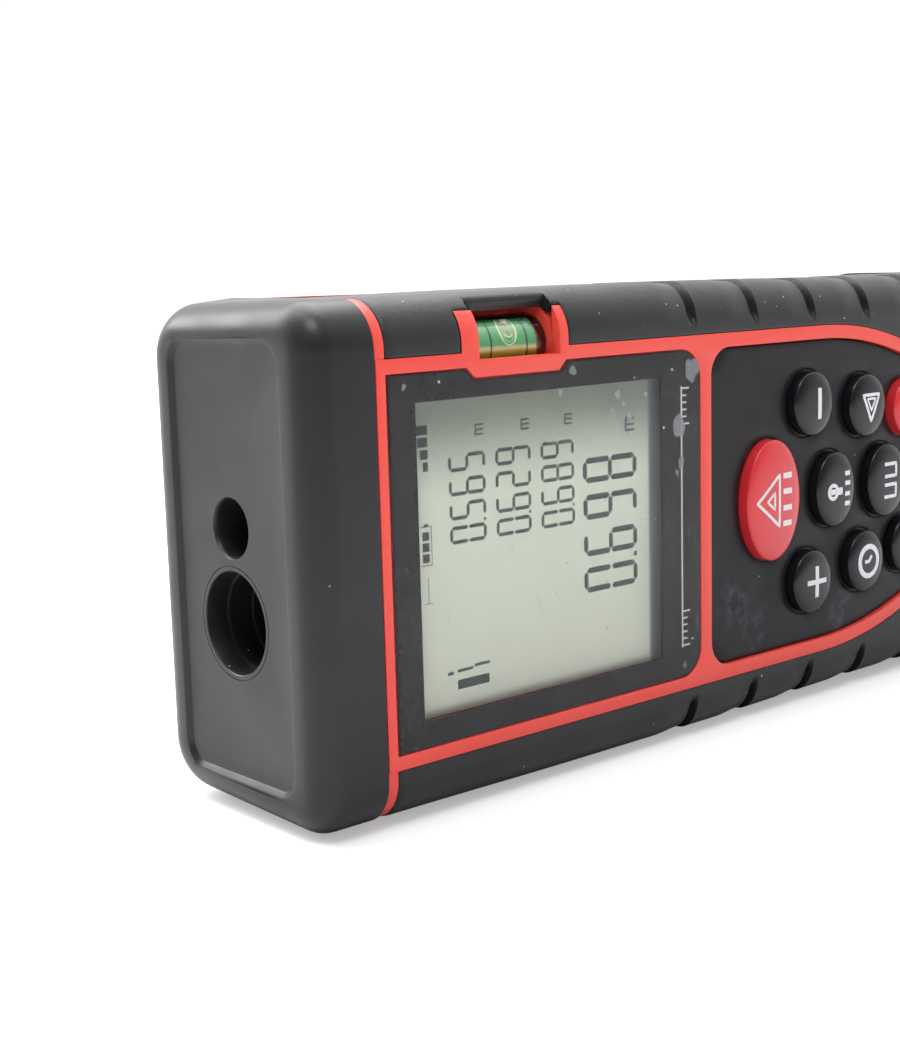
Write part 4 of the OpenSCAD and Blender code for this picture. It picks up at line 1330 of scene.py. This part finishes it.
    def build_marks(self, keys: dict[str, Key]) -> None:
        """Prints each key's plain sign: a triangle, minus, plus, lamp, clock and so on."""
        bar = 0.42
        ring = [(math.cos(t), math.sin(t)) for t in circle(28)]
        signs: dict[str, list[tuple[list[Flat], float, bool]]] = {
            "measure": [
                ([(-2.8, -0.7), (2.8, -0.7), (0.0, 2.9)], 0.34, True),
                ([(-0.9, 0.1), (0.9, 0.1), (0.0, 1.3)], 0.3, True),
            ]
            + self.ticks(-2.1, 1.5, (-2.6, -0.9, 0.9, 2.6), 0.6),
            "minus": [([(-1.7, -0.75), (1.7, -0.75)], 0.62, False)],
            "plus": [([(-1.75, -0.5), (1.75, -0.5)], 0.6, False), ([(0, -2.2), (0, 1.2)], 0.55, False)],
            "light": [
                ([(0.75 * u - 0.2, 0.75 * v + 0.75) for u, v in ring], bar, True),
                ([(-0.5, 0.75), (0.1, 0.75)], 0.9, False),
                ([(-0.2, 0.1), (-0.2, -0.9)], 0.8, False),
            ]
            + self.ticks(-1.9, 1.0, (-1.7, -0.6, 0.6, 1.7), 0.5),
            "angle": [
                ([(1.2, 1.1), (1.2, -1.9), (-1.8, -0.4)], 0.36, True),
                ([(0.75, 0.35), (0.75, -1.15), (-0.6, -0.4)], 0.26, True),
            ],
            "history": [
                ([(1.7 * u, 1.7 * v - 0.3) for u, v in ring], 0.6, True),
                ([(0.0, 0.5), (0.0, -0.3), (0.6, -0.8)], 0.4, False),
            ],
            "area": [
                ([(-1.9, 0.7), (-1.9, -1.5), (-0.5, -1.5), (-0.5, 0.7)], 0.4, False),
                ([(0.5, 0.7), (0.5, -1.5), (1.9, -1.5), (1.9, 0.7)], 0.4, False),
            ],
            "off": [
                (arc((0, -0.4), 1.25, 125, 415, 20), 0.4, False),
                ([(0.0, 0.0), (0.0, 1.25)], 0.4, False),
            ],
            "reference": [
                ([(-1.5, -1.4), (-1.5, 0.8)], 0.4, False),
                ([(-1.2, -0.3), (1.4, -0.3)], 0.4, False),
                ([(0.6, 0.4), (1.4, -0.3), (0.6, -1.0)], 0.36, False),
            ],
        }
        for name, strokes in signs.items():
            key = keys["key_" + name]
            solid = Solid(key.node + "_print", self.place)
            for line, width, closed in strokes:
                self.stroke(solid, key, line, width, closed)
            piece = solid.build(self.paints["key_ink"], 50)
            self.mount(piece, body_of_node(key.node), slot_of_node(key.node))

    def build(self) -> None:
        """Makes the panel, every key and every print."""
        keys = self.keys()
        self.build_panel(keys)
        for key in keys:
            self.build_key(key)
        self.build_marks({key.node: key for key in keys})


class Segment(Enum):
    """A seven-segment digit's bars, as their ends on a digit one high and wide."""

    TOP = ((0.0, 1.0), (1.0, 1.0))
    UPPER_RIGHT = ((1.0, 1.0), (1.0, 0.5))
    LOWER_RIGHT = ((1.0, 0.5), (1.0, 0.0))
    BOTTOM = ((0.0, 0.0), (1.0, 0.0))
    LOWER_LEFT = ((0.0, 0.5), (0.0, 0.0))
    UPPER_LEFT = ((0.0, 1.0), (0.0, 0.5))
    MIDDLE = ((0.0, 0.5), (1.0, 0.5))


ALL_BARS = tuple(Segment)
DIGITS = {
    "0": tuple(s for s in Segment if s is not Segment.MIDDLE),
    "2": (Segment.TOP, Segment.UPPER_RIGHT, Segment.MIDDLE, Segment.LOWER_LEFT, Segment.BOTTOM),
    "5": (Segment.TOP, Segment.UPPER_LEFT, Segment.MIDDLE, Segment.LOWER_RIGHT, Segment.BOTTOM),
    "6": tuple(s for s in Segment if s is not Segment.UPPER_RIGHT),
    "8": ALL_BARS,
    "9": tuple(s for s in Segment if s is not Segment.LOWER_LEFT),
}


@dataclass(frozen=True)
class Reading:
    """One line of digits on the display: where it starts, its size and what it says."""

    text: str
    base_x: float
    start_z: float
    height: float
    width: float
    pitch: float
    bar: float
    unit_z: float
    unit_size: float


@dataclass
class DisplayUnit(Assembly):
    """The window with its printed border and film, and the liquid crystal behind it."""

    x0: float = 8.37
    x1: float = 49.3
    half: float = 16.95
    face_y: float = 0.02
    back_y: float = 1.02
    notch_x0: float = 17.6
    notch_x1: float = 30.2
    notch: float = 0.95
    open_x0: float = 11.5
    open_x1: float = 43.3
    open_half: float = 14.34
    print_y: float = -0.02
    ruler_y: float = -0.045
    film_y: float = -0.075
    scraps_y: float = -0.09
    layer_t: float = 0.02
    segment_lift: float = 0.07
    ruler_x: float = 46.45
    long_tick_x: float = 47.5
    short_tick_x: float = 47.1
    tick_pitch: float = 0.72

    READINGS = (
        Reading("0565", 20.25, 1.2, 4.1, 1.28, 2.2, 0.36, 10.7, 1.05),
        Reading("0629", 25.95, 1.2, 4.1, 1.28, 2.2, 0.36, 10.7, 1.05),
        Reading("0689", 31.7, 1.2, 4.1, 1.28, 2.2, 0.36, 10.7, 1.05),
        Reading("0698", 40.35, -5.8, 7.0, 1.9, 3.6, 0.58, 9.3, 1.35),
    )

    SCRAPS = (
        (47.9, 14.9, 1.25), (45.9, 9.3, 1.15), (46.2, 5.6, 0.6), (45.6, 4.6, 0.36), (37.0, 13.2, 0.42),
        (37.8, 12.2, 0.3), (36.2, 11.6, 0.36), (38.6, 10.9, 0.46), (41.0, 12.9, 0.3), (40.9, 10.6, 0.26),
        (30.9, 15.9, 0.5), (46.6, -15.6, 0.34), (10.2, 15.8, 0.3), (29.2, 13.9, 0.34),
    )
    ICONS = (
        (12.5, -0.5, 1.2, 0.1), (12.5, 3.0, 1.2, 0.1), (13.7, -0.5, 0.1, 3.6), (12.9, 3.1, 0.5, 0.25),
        (13.2, -3.9, 0.1, 2.4), (12.8, -4.0, 0.9, 0.1), (16.4, -12.5, 3.9, 0.9), (16.4, -10.9, 1.9, 0.3),
        (18.5, -10.7, 1.9, 0.3), (15.2, -11.0, 0.7, 0.3),
    )

    def outline(self, inset: float) -> list[Flat]:
        """Gives the window's outline with its notch, drawn in by a distance."""
        low, high, r = self.x0 + inset, self.x1 - inset, 3.0 - inset
        top = self.half - inset
        step = self.notch
        shape = [(low, -top), (low, top), (self.notch_x0 - inset, top)]
        shape += [(self.notch_x0 + step - inset, top - step), (self.notch_x1 - step + inset, top - step)]
        shape += [(self.notch_x1 + inset, top)]
        shape += arc((high - r, top - r), r, 90, 0, 10)
        shape += arc((high - r, r - top), r, 0, -90, 10)
        return shape

    def plate(self, name: str, front: float, back: float, rim: float, inset: float = 0.0) -> Solid:
        """Starts a plate of the window's shape with rounded front edges."""
        solid = Solid(name, self.place)
        steps = [math.radians(a) for a in (0, 30, 60, 90)]
        rings = [[(x, back, z) for x, z in self.outline(inset)]]
        for a in steps:
            grow, y = rim * (1 - math.cos(a)), front + rim * (1 - math.sin(a))
            rings.append([(x, y, z) for x, z in self.outline(inset + grow)])
        solid.loft(rings)
        return solid

    def build_window(self) -> None:
        """Makes the clear window, its printed border and the film over both."""
        window = self.plate("window_plate", self.face_y, self.back_y, 0.12)
        self.stand_in(window.build(self.paints["window_acrylic"]), "display_window")
        border = Solid("window_border_print", self.place)
        front, back = self.print_y, self.print_y + self.layer_t
        outer = self.outline(0.12)
        inner = self.border_opening(outer)
        rows = [border.add((x, y, z) for x, z in shape) for shape, y in (
            (outer, front), (inner, front), (inner, back), (outer, back))]
        for first, second in zip(rows, rows[1:] + rows[:1]):
            border.bridge(first, second)
        self.mount(border.build(self.paints["border_print"]), "housing", "window_acrylic")
        film = self.plate("window_film", self.film_y, self.film_y + 0.015, 0.005, 0.25)
        self.mount(film.build(self.paints["window_film"]), "housing", "window_acrylic")

    def border_opening(self, outer: Sequence[Flat]) -> list[Flat]:
        """Gives a point of the border's rectangular opening for each outline point."""
        half = self.open_half
        return [(min(max(x, self.open_x0), self.open_x1), min(max(z, -half), half)) for x, z in outer]

    def build_patches(self) -> None:
        """Makes the torn scraps of protective film that cling to the window."""
        chance = random.Random(7)
        solid = Solid("window_film_scraps", self.place)
        for x, z, radius in self.SCRAPS:
            waves = [(chance.uniform(0.05, 0.16), chance.uniform(0, FULL_TURN), k) for k in (2, 3, 5)]
            outline = []
            for t in circle(20):
                r = radius * (1 + sum(size * math.sin(k * t + start) for size, start, k in waves))
                outline.append((x + 0.8 * r * math.cos(t), z + r * math.sin(t)))
            y = self.scraps_y
            solid.slab(outline, lambda a, b: y - self.layer_t, lambda a, b: y)
        self.mount(solid.build(self.paints["film_patch"]), "housing", "window_acrylic")

    def build_ruler(self) -> None:
        """Prints the plain ruler line with its ticks on the border's rear strip."""
        solid = Solid("window_ruler_print", self.place)
        y = self.ruler_y

        def bar(x0: float, x1: float, z0: float, z1: float) -> None:
            """Adds one printed bar."""
            corners = [(x0, z0), (x1, z0), (x1, z1), (x0, z1)]
            solid.slab(corners, lambda a, b: y, lambda a, b: y + self.layer_t)

        line, width = self.ruler_x, 0.17
        bar(line - 0.2, line, -13.7, 13.3)
        for group in (-13.6, 9.4):
            for i in range(6):
                z = group + self.tick_pitch * i
                bar(line, self.long_tick_x if i % 5 == 0 else self.short_tick_x, z, z + width)
        self.mount(solid.build(self.paints["ruler_ink"]), "housing", "window_acrylic")

    def bar_shape(self, start: Flat, end: Flat, width: float, trim: float) -> list[Flat]:
        """Gives a segment's six-sided outline between two ends."""
        way = (Vector(end) - Vector(start)).normalized()
        across = Vector((-way.y, way.x)) * width / 2
        first, last = Vector(start) + way * trim, Vector(end) - way * trim
        tip = way * width / 2
        upper = (first, first + tip + across, last - tip + across)
        lower = (last, last - tip - across, first + tip - across)
        return [(p.x, p.y) for p in upper + lower]

    def segments(self) -> list[list[Flat]]:
        """Gives every dark shape of the display as (x, z) outlines."""
        shapes: list[list[Flat]] = []
        for line in self.READINGS:
            for place, digit in enumerate(line.text):
                left = line.start_z + place * line.pitch
                for segment in DIGITS[digit]:
                    ends = []
                    for u, v in segment.value:
                        ends.append((left + u * line.width, v * line.height))
                    outline = self.bar_shape(ends[0], ends[1], line.bar, line.bar * 0.12)
                    shapes.append([(line.base_x - v, u) for u, v in outline])
            dot = line.start_z + line.width + (line.pitch - line.width) / 2
            size = line.bar * 0.8
            shapes.append(self.rectangle(line.base_x - size / 2, dot - size / 2, size, size))
            shapes += self.unit_mark(line)
        shapes += self.icons()
        return shapes

    def rectangle(self, x: float, z: float, size_x: float, size_z: float) -> list[Flat]:
        """Gives a rectangle from its lowest corner and its sizes."""
        return [(x, z), (x + size_x, z), (x + size_x, z + size_z), (x, z + size_z)]

    def unit_mark(self, line: Reading) -> list[list[Flat]]:
        """Gives the metre sign after a reading: three legs under one bar."""
        size, leg = line.unit_size, 0.17 * line.unit_size
        top = line.base_x - size
        shapes = [self.rectangle(top, line.unit_z, leg, size)]
        for k in range(3):
            z = line.unit_z + k * (size - leg) / 2
            shapes.append(self.rectangle(top + leg, z, size - leg, leg))
        return shapes

    def icons(self) -> list[list[Flat]]:
        """Gives the small status signs: battery, signal bars, reference edge and history."""
        shapes = []
        for k, height in enumerate((1.35, 1.15, 0.9, 0.6)):
            shapes.append(self.rectangle(13.6 - height, 11.3 - 1.1 * k, height, 0.85))
        for k in range(3):
            shapes.append(self.rectangle(12.7, -0.2 + 1.0 * k, 0.8, 0.8))
        return shapes + [self.rectangle(*icon) for icon in self.ICONS]

    def build_lcd(self) -> None:
        """Makes the liquid crystal glass and its dark segments."""
        low, high = self.place.box("lcd_glass")
        solid = Solid("lcd_panel", self.place)
        rim = 0.1
        rings = []
        for inset, y in ((0.0, high.y), (0.0, low.y + rim), (rim * 0.3, low.y + rim * 0.3), (rim, low.y)):
            near, far = (low.x + inset, low.z + inset), (high.x - inset, high.z - inset)
            outline = rounded_box(near, far, [0.2] * 4, 3)
            rings.append([(x, y, z) for x, z in outline])
        solid.loft(rings)
        self.stand_in(solid.build(self.paints["lcd_glass"]), "lcd_glass")
        front = low.y - self.segment_lift
        segments = Solid("lcd_segments", self.place)
        for shape in self.segments():
            segments.slab(shape, lambda a, b: front, lambda a, b: front + self.layer_t)
        self.mount(segments.build(self.paints["segment_dark"]), "housing", "lcd_glass")

    def build(self) -> None:
        """Makes everything that the display is made of."""
        self.build_lcd()
        self.build_window()
        self.build_ruler()
        self.build_patches()


@dataclass
class Vial(Assembly):
    """The bubble level: clear tube, coloured spirit, its bubble and the two ring lines."""

    y: float = 4.1
    z: float = 18.6
    radius: float = 2.9
    x0: float = 19.4
    x1: float = 29.2
    bore: float = 2.3
    rings: tuple[float, float] = (22.1, 26.6)
    bubble_x: float = 24.4
    bubble_half: float = 1.15
    bubble_turn: float = 36.0
    bubble_span: float = 36.0
    end_r: float = 0.8
    end_wall: float = 1.0

    def tube(self) -> None:
        """Makes the tube with its closed round end."""
        solid = Solid("vial_tube_clear", self.place)
        r, end = self.radius, self.x1 - self.x0
        profile = [(0.0, r - 0.1), (0.1, r)]
        turns = [math.radians(9 * i) for i in range(11)]
        x, y = end - self.end_r, r - self.end_r
        corner = [(x + self.end_r * math.sin(a), y + self.end_r * math.cos(a)) for a in turns]
        inside = end - self.end_wall
        profile += corner + [(end, 0.02), (inside, 0.02), (inside, self.bore - 0.4)]
        profile += [(end - 1.4, self.bore), (0.0, self.bore)]
        solid.turn((self.x0, self.y, self.z), profile, 72)
        self.stand_in(solid.build(self.paints["vial_acrylic"], 30), "vial_tube")

    def spirit(self) -> None:
        """Makes the liquid's body."""
        low, high = self.place.box("vial_liquid")
        solid = Solid("vial_spirit", self.place)
        r, length = self.bore - 0.02, high.x - low.x
        rings = [(0.0, r), (length - 0.4, r), (length - 0.1, r - 0.25), (length, r - 0.8)]
        solid.loft(
            [(low.x + x, self.y + s * math.cos(t), self.z + s * math.sin(t)) for t in circle(64)]
            for x, s in rings
        )
        self.stand_in(solid.build(self.paints["vial_liquid"], 30), "vial_liquid")

    def bubble(self) -> None:
        """Makes the air bubble under the bore's skin, with a painted bright rim and a painted highlight."""
        # The rim and the small spot are painted light: a bright rim round the bubble and a highlight on it.
        parts = (
            ("vial_bubble_edge_painted_highlight", 1.0, 0.004, (0.0, 0.0), "bubble_edge_painted_highlight"),
            ("vial_bubble", 0.84, 0.008, (0.0, 0.0), "bubble_core"),
            ("vial_bubble_painted_glint", 0.3, 0.012, (0.25, 24.0), "bubble_painted_glint"),
        )
        for name, share, lift, (shift, turn), paint in parts:
            solid = Solid(name, self.place)
            rings = []
            outer, inner = self.bore - 0.016 + lift, self.bore - 0.03 + lift
            for radius, grow in ((inner, 0.02), (inner, 1.0), (outer, 1.0), (outer, 0.5), (outer, 0.02)):
                size = share * grow
                ring = []
                for t in circle(40):
                    a = math.radians(self.bubble_turn + turn + self.bubble_span * size * math.cos(t))
                    x = self.bubble_x + shift + self.bubble_half * size * math.sin(t)
                    ring.append((x, self.y - radius * math.cos(a), self.z + radius * math.sin(a)))
                rings.append(ring)
            solid.loft(rings)
            self.mount(solid.build(self.paints[paint], 60), "housing", "vial_liquid")

    def ring_lines(self) -> None:
        """Makes the two black lines round the spirit."""
        solid = Solid("vial_ring_lines", self.place)
        low, high = self.bore - 0.02 - 0.05, self.bore - 0.02 + 0.015
        for x in self.rings:
            solid.turn((x, self.y, self.z), [(-0.1, low), (-0.1, high), (0.1, high), (0.1, low)], 72)
        self.mount(solid.build(self.paints["ring_ink"], 40), "housing", "vial_liquid")

    def build(self) -> None:
        """Makes the whole level."""
        self.tube()
        self.spirit()
        self.bubble()
        self.ring_lines()


def dress_cad_nodes(paints: Paints) -> None:
    """Gives every CAD node its finish, in its object's own material slots."""
    for part in frame["record"]["subparts"]:
        node = frame["nodes"][part["node"]]
        for slot in node.material_slots:
            slot.material = paints[part["material_slot"]]


# ---------------------------------------------------------------- stage


@dataclass(frozen=True)
class Lamp:
    """A rectangular soft lamp: its place, its target and its size in metres, its power in watts."""

    name: str
    at: Point
    target: Point
    size: Flat
    power: float


@dataclass
class Studio:
    """The pale floor, the soft lamps, the white surroundings and the camera.

    dark_way points to the side where the surroundings are darker.
    """

    place: Place
    azimuth: float = -40.676
    elevation: float = 9.2006
    roll: float = -1.6336
    lens: float = 56.61
    camera_at: Point = (-0.13763, -0.12344, 0.05077)
    dark_way: Point = (-0.65, -0.76, 0.0)
    floor_half: float = 4.0
    floor_glow: float = 0.38
    floor_tones: tuple[Colour, Colour] = ((0.64, 0.64, 0.65), (0.68, 0.68, 0.69))

    LAMPS = (
        Lamp("lamp_top", (0.05, 0.3, 0.75), (0.0, 0.0, 0.02), (0.9, 0.7), 9.5),
        Lamp("lamp_nose", (-0.32, 0.64, 0.5), (-0.05, 0.0, 0.03), (0.4, 0.5), 5.5),
        Lamp("lamp_front", (-0.25, -0.35, 0.8), (0.0, 0.0, 0.02), (0.35, 0.3), 3.2),
    )

    def build_camera(self) -> None:
        """Sets up the camera at its viewing angle."""
        data = bpy.data.cameras.new("camera")
        data.lens = self.lens
        data.sensor_width = 36
        data.clip_start = 0.005
        camera = bpy.data.objects.new("camera", data)
        bpy.context.scene.collection.objects.link(camera)
        a, e, roll = (math.radians(v) for v in (self.azimuth, self.elevation, self.roll))
        ahead = -Vector((math.sin(a) * math.cos(e), -math.cos(a) * math.cos(e), math.sin(e)))
        right = ahead.cross(Vector((0, 0, 1))).normalized()
        up = right.cross(ahead)
        turned_right = math.cos(roll) * right + math.sin(roll) * up
        turned_up = -math.sin(roll) * right + math.cos(roll) * up
        matrix = Matrix((turned_right, turned_up, -ahead)).transposed().to_4x4()
        matrix.translation = Vector(self.camera_at)
        camera.matrix_world = matrix
        bpy.context.scene.camera = camera

    def build_floor(self) -> None:
        """Lays a pale floor with a soft, slightly uneven tone."""
        mesh = bpy.data.meshes.new("floor")
        half = self.floor_half
        corners = [(-half, -half, 0), (half, -half, 0), (half, half, 0), (-half, half, 0)]
        mesh.from_pydata(corners, [], [[0, 1, 2, 3]])
        floor = bpy.data.objects.new("floor", mesh)
        bpy.context.scene.collection.objects.link(floor)
        material, sheet, shader, _ = new_material("floor")
        cloud = sheet.add("TexNoise", {"Vector": sheet.here(), "Scale": 6.0, "Detail": 2.0})
        darker, lighter = ((*tone, 1.0) for tone in self.floor_tones)
        colour = sheet.mix(cloud.outputs[0], darker, lighter)
        path = sheet.add("LightPath")
        seen = sheet.mix(path.outputs["Is Camera Ray"], (0.0, 0.0, 0.0, 1.0), (1.0, 1.0, 1.0, 1.0))
        glow = {"Emission Color": seen, "Emission Strength": self.floor_glow}
        sheet.feed(shader, {"Base Color": colour, "Roughness": 0.9, "Specular IOR Level": 0.1, **glow})
        mesh.materials.append(material)

    def hang(self, lamp: Lamp) -> None:
        """Hangs a lamp that points at its target."""
        data = bpy.data.lights.new(lamp.name, "AREA")
        data.shape = "RECTANGLE"
        data.size, data.size_y = lamp.size
        data.energy = lamp.power
        light = bpy.data.objects.new(lamp.name, data)
        bpy.context.scene.collection.objects.link(light)
        light.location = lamp.at
        way = Vector(lamp.target) - Vector(lamp.at)
        light.rotation_euler = way.to_track_quat("-Z", "Y").to_euler()

    def build_light(self) -> None:
        """Hangs the lamps and surrounds the scene with white that is darker on one side."""
        for lamp in self.LAMPS:
            self.hang(lamp)
        world = bpy.data.worlds.new("surroundings")
        world.use_nodes = True
        sheet = Sheet(world.node_tree)
        world.node_tree.nodes.clear()
        path = sheet.add("LightPath")
        seen = sheet.add("Background", {"Color": (1, 1, 1, 1), "Strength": 1.05})
        way = sheet.add("TexCoord").outputs["Generated"]
        facing = sheet.add("VectorMath", {0: way, 1: self.dark_way}, operation="DOT_PRODUCT").outputs["Value"]
        dark = sheet.between(facing, -0.6, 0.5)
        level = sheet.maths("MULTIPLY_ADD", dark, -1.15, 1.45)
        height = sheet.add("SeparateXYZ", {"Vector": way}).outputs["Z"]
        strength = sheet.maths("MULTIPLY_ADD", sheet.between(height, 0.3, 0.9), 0.5, level)
        given = sheet.add("Background", {"Color": (1, 1, 1, 1), "Strength": strength})
        camera_ray = path.outputs["Is Camera Ray"]
        both = sheet.add("MixShader", {0: camera_ray, 1: given.outputs[0], 2: seen.outputs[0]})
        sheet.add("OutputWorld", {"Surface": both.outputs[0]})
        bpy.context.scene.world = world
        bpy.context.scene.view_settings.view_transform = "Standard"

    def build(self) -> None:
        """Builds the whole stage."""
        self.build_camera()
        self.build_floor()
        self.build_light()


TAIL_SHARE = 0.968
TAPERED = ("rear_shell", "back_pad", "tail_cap")
EDGE_WIDTHS = {
    "front_shell": 0.16,
    "rear_shell": 0.16,
    "tail_cap": 0.3,
    "back_pad": 0.3,
    "battery_cover": 0.25,
    "back_label": 0.05,
    "case_screws": 0.12,
}


def main() -> None:
    """Builds the stage, then the meter from its nose to its back."""
    logging.basicConfig(level=logging.INFO, format="%(message)s")
    place = Place.from_frame()
    Studio(place).build()
    paints = Paints(place)
    dress_cad_nodes(paints)
    NoseCap(place, paints).build()
    for side in (1, -1):
        Grip(place, paints, side=side).build()
    Keypad(place, paints).build()
    DisplayUnit(place, paints).build()
    Vial(place, paints).build()
    refined = Refined(place, paints)
    for node, width in EDGE_WIDTHS.items():
        refined.build(node, width, TAIL_SHARE if node in TAPERED else 1.0)


if __name__ == "__main__":
    main()
